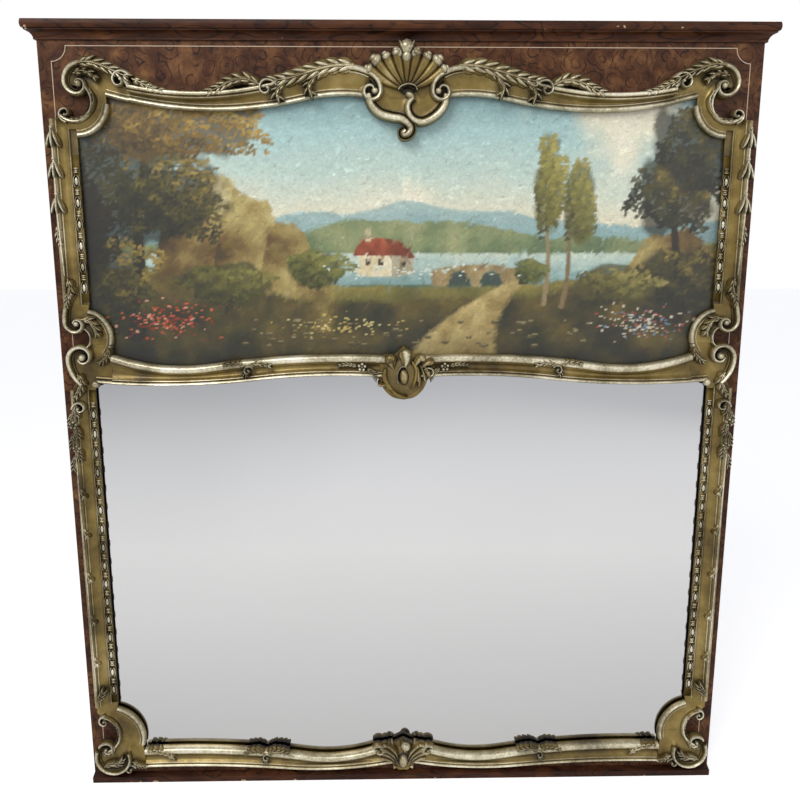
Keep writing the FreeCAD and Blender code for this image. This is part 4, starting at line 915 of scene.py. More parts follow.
def hollow_rows(low, high, start, stop, curve=2.0, steps=9):
    """The hollow between two rolls, rising from low to high, darkest under the higher one, where the
    gilding's painted shade gathers.
    """
    return [(start + (stop - start) * t, t, low + (high - low) * t ** curve, 0.12 * math.sin(math.pi * t))
            for t in (i / steps for i in range(steps + 1))]


sight_rows = [(-4.5, 0, 0, -0.4), (-4.5, 0, 2, 0.3), (-4.1, 0, 5.4, 0.6), (-2.8, 0, 8.8, 0.9),
              (-0.8, 0, 11, 1), (1.6, 0, 10.4, 0.95),
              (3.6, 0, 8.6, 0.5), (4.6, 0, 6.9, -0.9), (5.4, 0, 6.9, -0.6), (6.4, 0, 8.0, 0.6),
              (7.6, 0, 8.0, 0.6), (8.6, 0, 6.9, 0.0)]
rim_rows = [(-8.6, 1, 16.4, 0.0), (-7.6, 1, 18.6, 0.6), (-6.2, 1, 19.4, 0.7), (-5.0, 1, 18.2, -0.2),
            (-4.2, 1, 17.6, -0.95), (-3.2, 1, 19.6, 0.3),
            (-1.2, 1, 21.8, 0.95), (1.4, 1, 22, 1), (3.3, 1, 20.2, 0.75), (4.3, 1, 16.5, 0.2),
            (4.5, 1, 9, -0.4), (4.5, 1, 0, -1)]
top_rows = sight_rows + hollow_rows(6.9, 15.8, 9.4, -9.2) + rim_rows
volute = arcs(top_rim["near"], 180, [(85, 30), (30, 60), (14, 90), (12, 90), (9, 90), (6, 90)])
for side, name in ((1, "right"), (-1, "left")):
    carving = Carving()
    reach = top_joint - side * crest_x
    low_x = np.concatenate([np.linspace(60, 110, 12), np.linspace(116, reach, 64)])
    low_z = wave_z(low_x, **top_sight)
    rim_x = np.linspace(top_rim["near"][0], reach, 60)
    turned = volute[:12][::-1]
    all_x = np.concatenate([turned[:-1, 0], rim_x])
    all_z = np.concatenate([turned[:-1, 1], wave_z(rim_x, **top_rim)])
    order = np.argsort(all_x)
    high_x = np.maximum(low_x, 68)
    high_z = np.interp(high_x, all_x[order], all_z[order])
    band(carving, np.stack([low_x, low_z], 1), np.stack([high_x, high_z], 1), top_rows)
    scroll(carving, volute, 16, 24, 0.45, outer=-1)
    carving.ground([tuple(p) for p in volute[::2]] + [(60, 1352), (84, 1352), (104, 1364)], [volute], 7,
                   15, 10)
    carving.dome(56, 1360, 6.5, 6.5, 5, 28)
    acanthus(carving, [(92, 1403), (128, 1401), (166, 1392), (204, 1381), (236, 1376)], 27, 6, 27, 4.6,
             sides=(-1, 1))
    acanthus(carving, [(146, 1392), (164, 1380), (172, 1366), (164, 1353)], 15, 4, 25, 3.4)
    acanthus(carving, [(198, 1380), (218, 1370), (228, 1358), (222, 1346)], 15, 4, 24, 3.4)
    curl(carving, (228, 1368), 62, 12, -1, 30, 10)
    acanthus(carving, [(256, 1370), (280, 1379), (304, 1376), (326, 1366), (348, 1357)], 20, 5, 25, 4.2)
    acanthus(carving, [(478, 1379), (462, 1372), (446, 1364), (424, 1358)], 14, 4, 24, 3.8)
    carving.points = [(side * x + crest_x, z, h) for x, z, h in carving.points]
    carving.piece("top_moulding_" + name + "_gilt", ["top_moulding_" + name, "leaf_spray_" + name])


# ---- Crest --------------------------------------------------------------------------------------
# A fan of nine fluted ribs, each rolled over at its tip, stands in a lipped cup. The lips meet
# below and one of them runs on as a tail that hangs over the painting.
carving = Carving()
foot = np.array([crest_x, 1362.0])
carving.ground([(crest_x + x, z) for x, z in ((-30, 1350), (30, 1350), (56, 1384), (64, 1398),
                                              (46, 1412), (22, 1424), (-22, 1424),
                                              (-46, 1412), (-64, 1398), (-56, 1384))], [], 9, 9)
for bearing, long, roll_r in ((22, 74, 7.5), (38, 72, 9.5), (54, 66, 7.5), (72, 64, 7.0), (90, 64, 0),
                              (108, 64, 7.0), (126, 66, 7.5),
                              (142, 72, 9.5), (158, 74, 7.5)):
    rows = []
    for share, girth, lift in ((0.1, 2.2, 13), (0.3, 4.4, 18), (0.55, 7.2, 21), (0.8, 9.6, 23),
                               (1.0, 9.8, 25.5)):
        turned = math.radians(bearing + 0.22 * (bearing - 90) * (share - 0.6) * -1)
        rows.append((*(foot + share * long * np.array([math.cos(turned), math.sin(turned)])), girth,
                     lift))
    rows = smooth(rows, 6)
    carving.stroke(rows[:, :2], reed, wide=rows[:, 2], high=rows[:, 3], bright=0.3)
    if roll_r:
        tip = rows[-1][:2]
        carving.dome(*tip, roll_r * 1.25, roll_r * 0.9, 6, 30, turn=bearing - 90, crest=0.7)
        carving.dome(*(tip + 0.75 * roll_r * np.array([math.cos(math.radians(bearing)),
                                                       math.sin(math.radians(bearing))])),
                     roll_r * 0.8, roll_r * 0.6, 4, 27, turn=bearing - 90, crest=0.8)
for x, z, wide, tall, high, turn in ((0, 1433, 13, 14, 29.6, 0), (-14, 1424, 9, 10, 26, 30),
                                     (14, 1424, 9, 10, 26, -30), (0, 1418, 10, 12, 27, 0)):
    carving.dome(crest_x + x, z, wide, tall, 4, high, turn=turn, crest=0.85)
for lean in (-24, 0, 24):
    s, c = math.sin(math.radians(lean)), math.cos(math.radians(lean))
    line = [(crest_x + s * r, 1414 + c * r) for r in np.linspace(0, 32, 10)]
    carving.stroke(line, reed, wide=np.interp(range(10), (0, 6, 9), (1.6, 4.4, 1.6)),
                   high=np.interp(range(10), (0, 6, 9), (24, 30.2, 24)), bright=0.8)
cup = smooth([(-62, 1352), (-54, 1332), (-36, 1321), (-12, 1315), (4, 1305), (24, 1305), (46, 1316),
              (60, 1334), (64, 1352),
              (34, 1364), (0, 1367), (-34, 1364), (-62, 1352)], 6)[:-1] + np.array([crest_x, 0])
left_lip = smooth([(-66, 1356), (-60, 1338), (-46, 1325), (-26, 1319), (-8, 1316), (5, 1306), (9, 1297),
                   (5, 1288), (-5, 1285),
                   (-8, 1291), (-3, 1295)], 7) + np.array([crest_x, 0])
right_lip = smooth([(68, 1356), (64, 1337), (50, 1321), (30, 1311), (14, 1314), (5, 1325), (4, 1338),
                    (12, 1348)], 7) + np.array([crest_x, 0])
carving.ground(cup, [left_lip, right_lip], 8, 16, 14)
scroll(carving, left_lip, 22, 24, 0.75, outer=-1)
scroll(carving, right_lip, 21, 23, 0.7, outer=1)
# a dark boss under the turned-over scroll: a painted shadow beneath it
carving.dome(crest_x + 2, 1361, 13, 6, 6, 15, crest=-1.0)
scroll(carving, smooth([(-14, 1362), (-10, 1367), (2, 1371), (14, 1368), (18, 1361)], 6)[:,
        :2] + np.array([crest_x, 0]), 6, 26, 0.9)
carving.dome(crest_x + 6, 1353, 9, 6, 8, 28, turn=-30, crest=0.7)
carving.piece("crest_shell_gilt", ["crest_shell"])


# ---- Middle and bottom rails --------------------------------------------------------------------
# Each is two lengths that wave from a shell cartouche to the corners: a roll along both edges
# with a hollow between them, crossed once by a clasp of leaves.
mid_upper = dict(near=(120.0, 888.0), far=(415.0, 866.5), r_near=1654.0)
mid_lower = dict(near=(125.0, 855.0), far=(445.0, 837.0), r_near=1377.0)
low_upper = dict(near=(155.0, 52.0), far=(450.0, 75.0), r_near=300.0)
low_lower = dict(near=(170.0, 27.0), far=(450.0, 39.5), r_near=800.0)
edge_low = [(-4.5, 0, 0, -0.4), (-4.5, 0, 2.4, 0.2), (-4.2, 0, 7.4, 0.5), (-3.0, 0, 12.8, 0.85),
            (-0.8, 0, 16, 1), (1.4, 0, 15.2, 0.9),
            (2.8, 0, 13.2, 0.2), (3.5, 0, 12.0, -0.95), (4.2, 0, 12.0, -0.6), (5.2, 0, 13.2, 0.7),
            (6.4, 0, 12.8, 0.6), (7.2, 0, 11.2, 0.0)]
edge_high = [(-11.6, 1, 10.8, 0.0), (-10.4, 1, 12.6, -0.3), (-8.6, 1, 14.6, 0.6), (-5.4, 1, 16.2, 1),
             (-1.4, 1, 16.6, 1), (1.4, 1, 15.2, 0.95),
             (3.2, 1, 11.6, 0.8), (4.2, 1, 6.8, 0.6), (4.5, 1, 2.4, 0.3), (4.5, 1, 0, -0.4)]
for level, upper, lower, start, joint, clasp, shade in (("mid", mid_upper, mid_lower, 34, sight_x - 35,
                                                         (292, 869), 0.12),
                                                        ("low", low_upper, low_lower, 22, sight_x - 50,
                                                         (282, 63), 0.42)):
    edge_hollow = [(7.8 - 19.8 * t, t, 10.8 - 4.6 * math.sin(math.pi * t) ** 0.8,
                    -shade * math.sin(math.pi * t))
                   for t in (i / 10 for i in range(11))]
    rail_rows = edge_low + edge_hollow + edge_high
    for side, name in ((1, "right"), (-1, "left")):
        carving = Carving()
        x = np.linspace(start, joint, 90)
        band(carving, np.stack([x, wave_z(x, **lower)], 1), np.stack([x, wave_z(x, **upper)], 1),
             rail_rows)
        cx, cz = clasp
        for hand in (-1, 1):
            acanthus(carving, [(cx + hand * 2, cz + 2), (cx + hand * 14, cz + 6),
                               (cx + hand * 30, cz + 6), (cx + hand * 44, cz + 3)],
                     11, 4, 20, 2.8)
        curl(carving, (cx - 10, cz - 2), 50, 6.5, -1, 24, 6)
        acanthus(carving, [(cx - 2, cz), (cx + 4, cz - 8), (cx + 2, cz - 16)], 9, 3, 19, 2.6)
        if level == "mid":
            flower(carving, 78, 869, 9, 19)
            acanthus(carving, [(88, 871), (104, 874), (124, 872)], 9, 4, 16, 2.4)
            acanthus(carving, [(68, 866), (58, 858), (50, 846)], 13, 4, 18, 3.0)
        else:
            curl(carving, (60, 74), 130, 8, 1, 24, 9)
            acanthus(carving, [(470, 56), (484, 66), (502, 72), (524, 74)], 12, 4, 20, 3.0)
        carving.points = [(side * x, z, h) for x, z, h in carving.points]
        carving.piece(level + "_moulding_" + name + "_gilt", [level + "_moulding_" + name])


def lobe(carving, x, z, bearing, long, wide, top, bend=0.0, twist=1, bright=0.55):
    """One shell lobe: a broad finger with a finer one laid beside it, rounded off at its tip."""
    rows = []
    for share, girth, lift in ((0, 0.3, 0.8), (0.35, 0.72, 0.95), (0.7, 1.0, 1.0), (0.92, 0.86, 0.98),
                               (1, 0.4, 0.86)):
        turned = math.radians(bearing + bend * (share - 0.4))
        rows.append((x + share * long * math.cos(turned), z + share * long * math.sin(turned),
                     girth * wide, lift * top))
    rows = smooth(rows, 5)
    carving.stroke(rows[:, :2], finger if twist > 0 else turned_over(finger), wide=rows[:, 2],
                   high=rows[:, 3], bright=bright)


# ---- Middle cartouche ---------------------------------------------------------------------------
# Lopsided shell-work carved in one block and pinned over the joint of the middle rail: a curved
# cabochon among lobes that turn over at the top, with a leafy wing on either side.
carving = Carving()
half = smooth([(0, 806), (21, 811), (37, 826), (45, 846), (43, 866), (46, 882), (34, 893), (17, 893),
               (0, 908)], 6)
carving.ground([tuple(p) for p in half] + [(-x, z) for x, z in half[::-1][1:-1]], [], 11, 11)
carving.dome(-1, 848, 38, 37, 6, 16, crest=-0.5, sides=30)
for fold, wide, top in (([(-22, 826), (-14, 818), (-2, 812), (8, 812)], 4.5, 22),
                        ([(-34, 866), (-36, 850), (-28, 832), (-16, 822)], 6.5, 19),
                        ([(16, 880), (24, 864), (22, 844), (14, 826)], 5.0, 21)):
    line = smooth(fold, 8)
    taper = np.interp(np.linspace(0, 1, len(line)), (0, 0.3, 0.7, 1), (0.5, 1, 0.9, 0.25))
    carving.stroke(line, reed, wide=wide * taper, high=top, bright=0.15)
for x, z, bearing, long in ((26, 872, -78, 32), (31, 874, -64, 34), (35, 876, -50, 32),
                            (30, 856, -84, 26), (36, 866, -36, 20)):
    lobe(carving, x, z, bearing, long, 4.6, 23, -14, 1, 0.4)
for x, z, bearing, long, wide, top, bend, twist in ((-18, 866, 112, 26, 12, 23, -20, -1),
                                                    (34, 868, 50, 26, 9, 23, -40, 1),
                                                    (20, 868, 70, 24, 8, 23, -20, 1)):
    lobe(carving, x, z, bearing, long, wide, top, bend, twist, 0.45)
carving.dome(-25, 884, 11.5, 10, 8, 25, turn=20, crest=0.35, sides=22)
carving.dome(-24, 882, 7, 6, 10, 26.5, turn=20, crest=-0.6, sides=18)
lobe(carving, 2, 870, 82, 31, 12.5, 29.5, 24, 1, 0.85)
carving.dome(7, 894, 7, 5.5, 12, 30, turn=-20, crest=0.6)
carving.dome(35, 886, 8.5, 6.5, 8, 25, turn=-40, crest=0.5)
ring = np.radians(np.arange(0, 351, 10))
# a dark oval under the ring and cabochon, seen as a thin channel round the cabochon: painted shade and
# grime
carving.dome(0, 851, 12.5, 20.5, 4, 20, turn=4, crest=-0.9, sides=26)
carving.stroke(np.stack([12 * np.cos(ring), 851 + 20 * np.sin(ring)], 1)[6:23], half_round(3.6, 25, 8),
               bright=0.9)
carving.dome(0.5, 851, 8.6, 16, 6, 26, turn=6, crest=0.35, sides=22)
lobe(carving, -30, 838, 200, 18, 5, 21, -30, -1)
curl(carving, (40, 864), 40, 7, -1, 24, 8)
carving.piece("mid_cartouche_gilt", ["mid_cartouche"])


# ---- Bottom cartouche ---------------------------------------------------------------------------
# A smaller, even shell over the joint of the bottom rail: an oval cabochon between two fans,
# under one lobe that rolls forward.
carving = Carving()
half = smooth([(0, 22), (10, 22), (19, 34), (33, 53), (48, 64), (51, 76), (38, 84), (22, 82), (0, 92)], 6)
carving.ground([tuple(p) for p in half] + [(-x, z) for x, z in half[::-1][1:-1]], [], 11, 11)
carving.dome(0, 50, 25, 27, 4, 16, crest=-0.2, sides=28)
for hand in (-1, 1):
    for x, z, bearing, long, wide, top, bend in ((14, 40, 52, 50, 7, 21, -36),
                                                 (12, 44, 62, 48, 7, 23, -34),
                                                 (10, 50, 74, 40, 6.5, 24, -30),
                                                 (16, 36, 44, 34, 6, 19, -30), (12, 30, 0, 9, 6, 16, 0)):
        lobe(carving, hand * x, z, bearing if hand > 0 else 180 - bearing, long, wide, top, hand * bend,
             hand, 0.6)
    curl(carving, (hand * 30, 76), 90 - hand * 40, 6, -hand, 24, 7)
lobe(carving, 2, 68, 84, 20, 11, 28, -10, 1, 0.8)
carving.dome(5, 81, 10.5, 9, 10, 30, turn=-20, crest=0.95)
# a dark oval under the cabochon, seen as a thin channel round it: painted shade and grime
carving.dome(0, 47, 13, 19, 4, 22, crest=-0.9, sides=24)
carving.dome(0, 47, 9.6, 15.4, 6, 28, crest=0.6, sides=22)
carving.piece("low_cartouche_gilt", ["low_cartouche"])


# ---- Corners and sides --------------------------------------------------------------------------
# The sides are straight: a bed for the beading, a hollow and an outer rim. At each level they
# run into a corner carved in one with them, whose rims wind into volutes set back to back.
side_w = 43.0
side_rows = [(0, 0, -1), (0, 3, -0.6), (12, 3, -0.6), (12.2, 6.6, 0.2), (13.4, 7.8, 0.7),
             (15, 7.2, 0.4), (16.0, 6.4, -0.6), (17, 6.4, 0)]
side_rows += [(17 + 13 * t, 6.4 + 9.2 * t ** 2.0, 0.1 * math.sin(math.pi * t))
              for t in (i / 8 for i in range(1, 9))]
side_rows += [(30.8, 17.6, 0.5), (32, 18.2, 0.6), (33, 17.0, -0.95), (34, 17.6, -0.3),
              (35.2, 20.2, 0.3), (37.4, 22, 0.5), (40, 21.8, 0.5),
              (42, 19.4, 0.2), (43, 15, 0), (43, 7, -0.5), (43, 0, -1)]


def straight(carving, low, high):
    """A plain length of side, sight edge inwards."""
    rings = [[(sight_x + a, z, d) for a, d, _ in side_rows] for z in np.linspace(low, high, 12)]
    carving.rings(rings, [c for *_, c in side_rows])


corner_sight = [(a, d, c) for a, _, d, c in sight_rows] + [(9.6, 6.9, 0), (9.6, 0, -1)]


def bellflower(carving, x, z, long, top):
    """Three petals that open downwards below a small calyx."""
    for bend in (-20, 20, 0):
        turned = math.radians(270 + bend)
        rows = smooth([(x, z, 1.6, 0.8), (x + 0.4 * long * math.cos(turned),
                                          z + 0.4 * long * math.sin(turned), 4.4, 1),
                       (x + 0.8 * long * math.cos(turned), z + 0.8 * long * math.sin(turned), 4.0, 1),
                       (x + long * math.cos(turned), z + long * math.sin(turned), 1.0, 0.85)], 5)
        carving.stroke(rows[:, :2], finger if bend > 0 else turned_over(finger), wide=rows[:, 2],
                       high=rows[:, 3] * (top if bend else top + 1.5))
    carving.dome(x, z, 4, 4, 8, top + 0.5)


for side, name in ((1, "right"), (-1, "left")):
    flip = side < 0
    # the top corner and its joint to the straight side
    carving = Carving()
    c = (sight_x - 1, 1342.0)
    turned_out = arcs((top_joint - 2.6, 1367.6), 48,
                      [(110, -48), (28, -90), (20, -90), (13, -90), (8, -90), (5, -90)])
    x = np.linspace(top_joint, c[0] - 55.5, 10)
    low_line = np.stack([x, wave_z(x, **top_sight)], 1)
    round_sight = bow(c, 55.5, 184, 269)
    hollow = bow(c, 32, 316, 130)
    ground = np.vstack([low_line, round_sight, [(sight_x, 1296), (sight_x + side_w, 1296),
                                                (sight_x + side_w, 1312)], hollow,
                        turned_out[:24][::-1]])
    carving.ground(ground, [hollow, turned_out[:26]], 7, 17, 17)
    straight(carving, 1300, 1312)
    carving.stroke(low_line, corner_sight)
    carving.stroke(round_sight, corner_sight)
    scroll(carving, turned_out, 16, 23, 0.42, outer=1)
    scroll(carving, hollow, 13, 21, 0.8, outer=1)
    carving.dome(sight_x - 14, 1371, 6.5, 6.5, 5, 28)
    acanthus(carving, [(566, 1404), (546, 1406), (524, 1400), (500, 1390), (478, 1380)], 20, 5, 28, 4.6)
    curl(carving, (478, 1384), 50, 12, -1, 30, 10)
    acanthus(carving, [(574, 1388), (560, 1392), (546, 1388), (534, 1378)], 13, 3, 22, 3.6)
    acanthus(carving, [(548, 1362), (541, 1346), (548, 1326), (566, 1312), (586, 1310)], 10, 6, 23, 3.0,
             sides=(1,))
    curl(carving, (592, 1308), 10, 9, 1, 26, 8)
    carving.piece("top_corner_" + name + "_gilt", ["top_corner_" + name], flip)

    # the upper side with the upper half of the middle corner
    carving = Carving()
    straight(carving, 986, 1299.7)
    centre = (sight_x + 13, 924.0)
    start = math.degrees(math.acos((sight_x - centre[0]) / 49.5))
    sight = bow(centre, 49.5, start - 3, 194)
    upper_turn = arcs((sight_x + 24.7, 1006.6), -55,
                      [(90, -35), (17, -90), (12, -90), (8, -90), (5, -90)])
    between = bow((sight_x + 19, 924), 20, 115, 196)
    ground = np.vstack([[(sight_x, 986)], sight, [(545, 912.2), (sight_x - 3, 912.2)], between[::-1],
                        [(sight_x + 5, 946)],
                        upper_turn[4:15][::-1], [(sight_x + side_w, 986)]])
    carving.ground(ground, [between, upper_turn[:16]], 7, 16, 15)
    carving.stroke(sight, corner_sight)
    scroll(carving, upper_turn, 14, 24, 0.5, outer=1)
    scroll(carving, between, 8, 18, 0.8, outer=-1)
    carving.dome(sight_x + 21, 952, 6, 6, 5, 28)
    acanthus(carving, [(sight_x + 30, 1034), (sight_x + 27, 1016), (sight_x + 32, 1000),
                       (sight_x + 36, 982)], 14, 4, 27, 3.6)
    acanthus(carving, [(sight_x + 12, 960), (sight_x, 958), (sight_x - 11, 946), (sight_x - 16, 928)],
             14, 4, 23, 4.0)
    for top in (1298, 1245, 1184):
        bellflower(carving, sight_x + 38, top, 36, 27)
    stem = smooth([(sight_x + 40, 1300, 2.4, 25), (sight_x + 38, 1240, 2.2, 25),
                   (sight_x + 39, 1160, 2.6, 25), (sight_x + 37, 1100, 2.2, 25),
                   (sight_x + 35, 1040, 2, 24)], 12)
    carving.stroke(stem[:, :2], reed, wide=stem[:, 2], high=stem[:, 3])
    acanthus(carving, [(sight_x + 39, 1130), (sight_x + 41, 1112), (sight_x + 37, 1094)], 11, 3, 26, 3.0)
    carving.piece("upper_side_" + name + "_gilt", ["upper_side_" + name, "bellflower_drop_" + name], flip)

    # the lower side with the lower half of the middle corner and the hollow of the bottom one
    carving = Carving()
    straight(carving, 176, 828)
    lower_turn = arcs((sight_x + 18.6, 839), 40, [(60, 50), (22, 90), (16, 90), (11, 90), (7, 90)])
    tail_x = np.linspace(sight_x - 35, sight_x - 4, 8)
    tail = np.stack([tail_x, wave_z(tail_x, **mid_lower)], 1)
    ground = np.vstack([[(544.9, 911.8), (545, 880), (545, 846)], tail,
                        [(sight_x, 826), (sight_x + side_w, 826)], lower_turn[2:13],
                        [(sight_x + 2, 911.8)]])
    carving.ground(ground, [lower_turn[:16]], 7.4, 16, 14)
    carving.stroke(bow(centre, 49.5, 196, 222), corner_sight)
    carving.stroke(tail, [(a, d * 1.35, c) for a, d, c in corner_sight])
    scroll(carving, lower_turn, 15, 25, 0.5, outer=-1)
    scroll(carving, bow((sight_x + 19, 924), 20, 197, 236), 8, 18, 0.8, outer=-1)
    carving.dome(sight_x + 15, 889, 7.5, 7.5, 5, 29)
    carving.dome(sight_x - 4, 838, 7.5, 7.5, 5, 20)
    acanthus(carving, [(sight_x - 33, 906), (sight_x - 31, 894), (sight_x - 24, 884),
                       (sight_x - 14, 878)], 12, 4, 21, 3.6)
    acanthus(carving, [(sight_x + 26, 858), (sight_x + 20, 844), (sight_x + 24, 828),
                       (sight_x + 34, 812)], 14, 4, 25, 3.6)
    curl(carving, (sight_x + 40, 792), 100, 9, 1, 29.5, 9)
    for i, top in enumerate((806, 786, 764, 744, 722, 702)):
        sway = 5 if i % 2 else -4
        acanthus(carving, [(sight_x + 38, top), (sight_x + 38 + sway, top - 12),
                           (sight_x + 38 + 1.5 * sway, top - 28)], 13, 3, 27, 3.6)
    flower(carving, sight_x + 40, 762, 9, 30)
    flower(carving, sight_x + 37, 716, 8, 29)
    stem = smooth([(sight_x + 39, 700, 2.6, 26), (sight_x + 38, 560, 2.2, 25),
                   (sight_x + 37, 400, 2.0, 25), (sight_x + 36, 215, 1.6, 24)], 16)
    carving.stroke(stem[:, :2], reed, wide=stem[:, 2], high=stem[:, 3])
    for top in (640, 560, 470, 380, 290):
        acanthus(carving, [(sight_x + 38, top), (sight_x + 35, top - 14), (sight_x + 30, top - 24)], 10,
                 2, 25, 2.6)
    acanthus(carving, [(sight_x + 40, 186), (sight_x + 32, 196), (sight_x + 22, 212)], 15, 3, 25, 3.6)
    bottom = (sight_x + 19, 100.0)
    start = math.degrees(math.acos((sight_x - bottom[0]) / 66.5))
    sight = bow(bottom, 66.5, start - 2, 177)
    hollow = bow((sight_x + 36, 113), 38, 96, 195)
    ground = np.vstack([[(sight_x, 180)], sight, [(sight_x - 2, 104.2)], hollow[::-1],
                        [(sight_x + side_w, 156), (sight_x + side_w, 180)]])
    carving.ground(ground, [hollow], 7, 16, 15)
    carving.stroke(sight, corner_sight)
    scroll(carving, hollow, 11, 20, 1.0, outer=-1)
    acanthus(carving, [(sight_x + 28, 153), (sight_x + 12, 146), (sight_x + 1, 130),
                       (sight_x - 2, 112)], 8, 5, 23, 2.8, sides=(1,))
    curl(carving, (sight_x + 24, 154), 0, 8, -1, 25, 8)
    carving.piece("lower_side_" + name + "_gilt", ["lower_side_" + name, "side_garland_" + name], flip)

    # the bottom corner: a ring that rests on the base, with a small leaf to the rail
    carving = Carving()
    sight = bow(bottom, 66.5, 177, 194)
    ring = bow((sight_x + 13.5, 60), 33, 26, -200)
    hollow = bow((sight_x + 36, 113), 38, 195, 250)
    ground = np.vstack([sight, [(sight_x - 50, 36), (sight_x - 18, 36)],
                        bow((sight_x + 13.5, 60), 33, 220, 386), [(sight_x + 34, 78)],
                        hollow[::-1]])
    carving.ground(ground, [ring, hollow], 7, 16, 14)
    carving.stroke(sight, corner_sight)
    scroll(carving, hollow, 11, 20, 0.9, outer=-1)
    scroll(carving, ring, 13, 23, 0.7, outer=1)
    curl(carving, (sight_x + 40, 84), 120, 11, 1, 25, 9)
    acanthus(carving, [(sight_x + 34, 40), (sight_x + 22, 44), (sight_x + 6, 46), (sight_x - 6, 58)],
             13, 5, 20, 3.4)
    acanthus(carving, [(sight_x + 8, 88), (sight_x + 16, 76), (sight_x + 30, 72)], 12, 3, 23, 3.2)
    curl(carving, (sight_x - 30, 36), 60, 8, -1, 22, 7)
    acanthus(carving, [(sight_x - 24, 50), (sight_x - 36, 42), (sight_x - 48, 40)], 11, 3, 19, 3.0)
    carving.piece("low_corner_" + name + "_gilt", ["low_corner_" + name], flip)


# ---- Egg-and-reel beading -----------------------------------------------------------------------
# A pressed composition strip in the bed of each side: eggs in their shells at a 38 mm pitch with
# a reel between each two, gilt like the carving, worn bright on every crown and given a painted highlight
# there.
bead_pitch = 38.0
bed_t, bed_crest = 0.001, -0.15                  # the strip under the beads, and how little of it is worn


def template(name, build):
    """One bead, modelled once for the line to repeat."""
    carving = Carving()
    build(carving)
    return bpy.data.objects.new(name, carving.mesh(name, 0.0, crisp=False))


def egg_shape(carving):
    carving.dome(0, 0, 3.5, 7.4, 0, 6.4, crest=0.9, sides=14)
    for hand in (-1, 1):
        rows = smooth([(hand * 1.8, -10.5, 0.6), (hand * 4.6, -6, 1), (hand * 4.9, 0, 1.1),
                       (hand * 4.6, 6, 1), (hand * 1.8, 10.5, 0.6)], 3)
        carving.stroke(rows[:, :2], half_round(1.5, 5.0, 2), wide=rows[:, 2])


def reel_shape(carving):
    for z in (-3.4, 0, 3.4):
        carving.dome(0, z, 4.8 if z else 3.6, 1.7, 0, 4.6, crest=0.7, sides=10)


egg, reel = template("egg", egg_shape), template("reel", reel_shape)
beads = bpy.data.node_groups.new("bead_line", "GeometryNodeTree")
sockets = {}
for label, kind in (("First", "NodeSocketVector"), ("Reel shift", "NodeSocketVector"),
                    ("Step", "NodeSocketVector"), ("Count", "NodeSocketInt")):
    sockets[label] = beads.interface.new_socket(label, in_out="INPUT", socket_type=kind).identifier
beads.interface.new_socket("Geometry", in_out="OUTPUT", socket_type="NodeSocketGeometry")
given = node(beads, "NodeGroupInput")
gathered = node(beads, "GeometryNodeJoinGeometry")
for kind, shift in ((egg, False), (reel, True)):
    start = given.outputs["First"]
    if shift:
        start = node(beads, "ShaderNodeVectorMath", {0: start, 1: given.outputs["Reel shift"]},
                     operation="ADD")
    row = node(beads, "GeometryNodeMeshLine", {"Count": given.outputs["Count"], "Start Location": start,
                                               "Offset": given.outputs["Step"]})
    shape = node(beads, "GeometryNodeObjectInfo", {"Object": kind})
    placed = node(beads, "GeometryNodeInstanceOnPoints",
                  {"Points": row, "Instance": shape.outputs["Geometry"]})
    plug(gathered, {0: placed})
whole = node(beads, "GeometryNodeRealizeInstances", {0: gathered})
gilt = node(beads, "GeometryNodeSetMaterial", {0: whole, "Material": gilding})
node(beads, "NodeGroupOutput", {0: gilt})

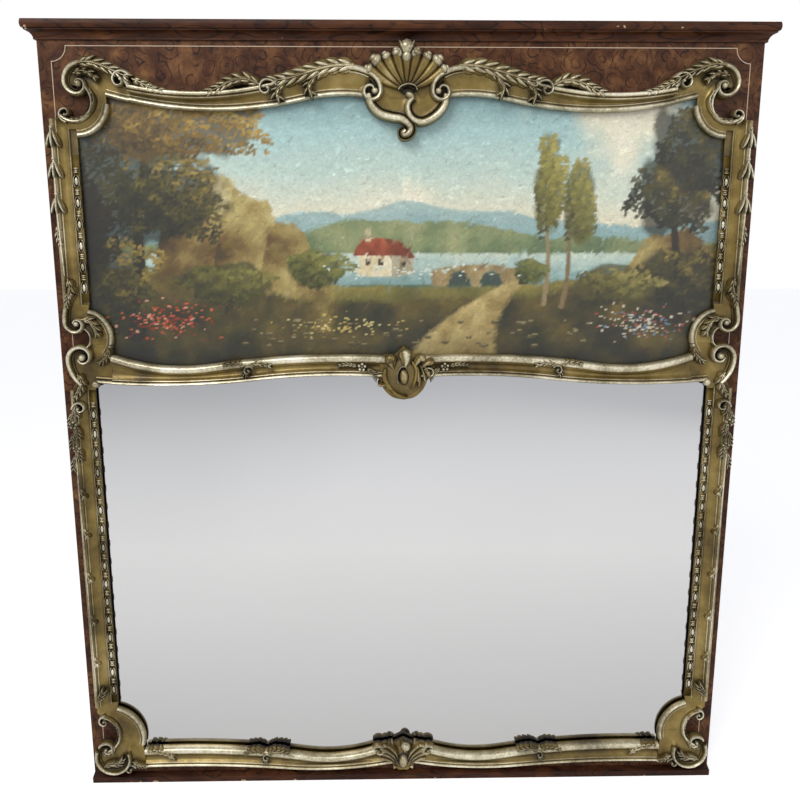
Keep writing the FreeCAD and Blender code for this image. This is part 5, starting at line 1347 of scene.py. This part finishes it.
for level in ("upper", "lower"):
    for name in ("right", "left"):
        low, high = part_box(level + "_beading_" + name)
        room = (high[2] - low[2]) * 1000
        count = int(room // bead_pitch)
        bottom_z = (low[2] + high[2]) / 2 - count * bead_pitch / 2000
        middle = ((low[0] + high[0]) / 2, high[1] - bed_t, bottom_z + 0.25 * bead_pitch / 1000)
        host = set_out("bead_host", bpy.data.meshes.new("bead_host"))
        modifier = host.modifiers.new("beads", "NODES")
        modifier.node_group = beads
        modifier[sockets["First"]] = middle
        modifier[sockets["Reel shift"]] = (0.0, 0.0, bead_pitch / 2000)
        modifier[sockets["Step"]] = (0.0, 0.0, bead_pitch / 1000)
        modifier[sockets["Count"]] = count
        host.update_tag()
        bpy.context.view_layer.update()
        mesh = bpy.data.meshes.new_from_object(host.evaluated_get(bpy.context.evaluated_depsgraph_get()))
        bpy.data.objects.remove(host)
        strip = [(x, y, z) for x in (low[0], high[0]) for y in (high[1] - bed_t,
                high[1]) for z in (low[2], high[2])]
        shaped = bmesh.new()
        shaped.from_mesh(mesh)
        corners = [shaped.verts.new(p) for p in strip]
        for loop in ((0, 1, 3, 2), (4, 6, 7, 5), (0, 4, 5, 1), (2, 3, 7, 6), (0, 2, 6, 4), (1, 5, 7, 3)):
            shaped.faces.new([corners[i] for i in loop])
        layer = shaped.verts.layers.float["crest"]
        for corner_vertex in corners:
            corner_vertex[layer] = bed_crest
        shaped.to_mesh(mesh)
        shaped.free()
        for polygon in mesh.polygons:
            polygon.use_smooth = True
        put_on(set_out(level + "_beading_" + name + "_gilt", mesh), [level + "_beading_" + name])
bpy.data.objects.remove(egg)
bpy.data.objects.remove(reel)


# ---- Fittings on the back -----------------------------------------------------------------------
# Forged iron hangers with loose rings, iron nails and screws, dull and lightly rusted, and four
# cast brass turn buttons, browned with age, that keep the stretcher in its rebate.
iron, tree, shader = finish_of("forged_iron")
place = node(tree, "ShaderNodeTexCoord").outputs["Object"]
rust = node(tree, "ShaderNodeTexNoise", {"Vector": place, "Scale": 160.0, "Detail": 5.0})
plug(shader, {"Base Color": node(tree, "ShaderNodeValToRGB", {0: rust},
                                 stops=[(0.4, "#2B2826"), (0.56, "#3F3A36"), (0.7, "#6A4630")]),
              "Metallic": node(tree, "ShaderNodeMapRange", {0: rust, 1: 0.4, 2: 0.7, 3: 0.8, 4: 0.1}),
              "Roughness": 0.55})
dress(["hanger_plate_left", "hanger_plate_right", "hanger_ring_left", "hanger_ring_right",
       "hanger_screws",
       "turn_button_screws", "backboard_nails"], iron)
brass, tree, shader = finish_of("browned_brass")
place = node(tree, "ShaderNodeTexCoord").outputs["Object"]
tarnish = node(tree, "ShaderNodeTexNoise", {"Vector": place, "Scale": 120.0, "Detail": 4.0})
plug(shader, {"Base Color": node(tree, "ShaderNodeValToRGB", {0: tarnish},
                                 stops=[(0.35, "#5E4520"), (0.55, "#9A7A3C"), (0.7, "#B8964F")]),
              "Metallic": 0.9, "Roughness": 0.42})
dress(["turn_button_top_left", "turn_button_top_right", "turn_button_bottom_left",
       "turn_button_bottom_right"], brass)
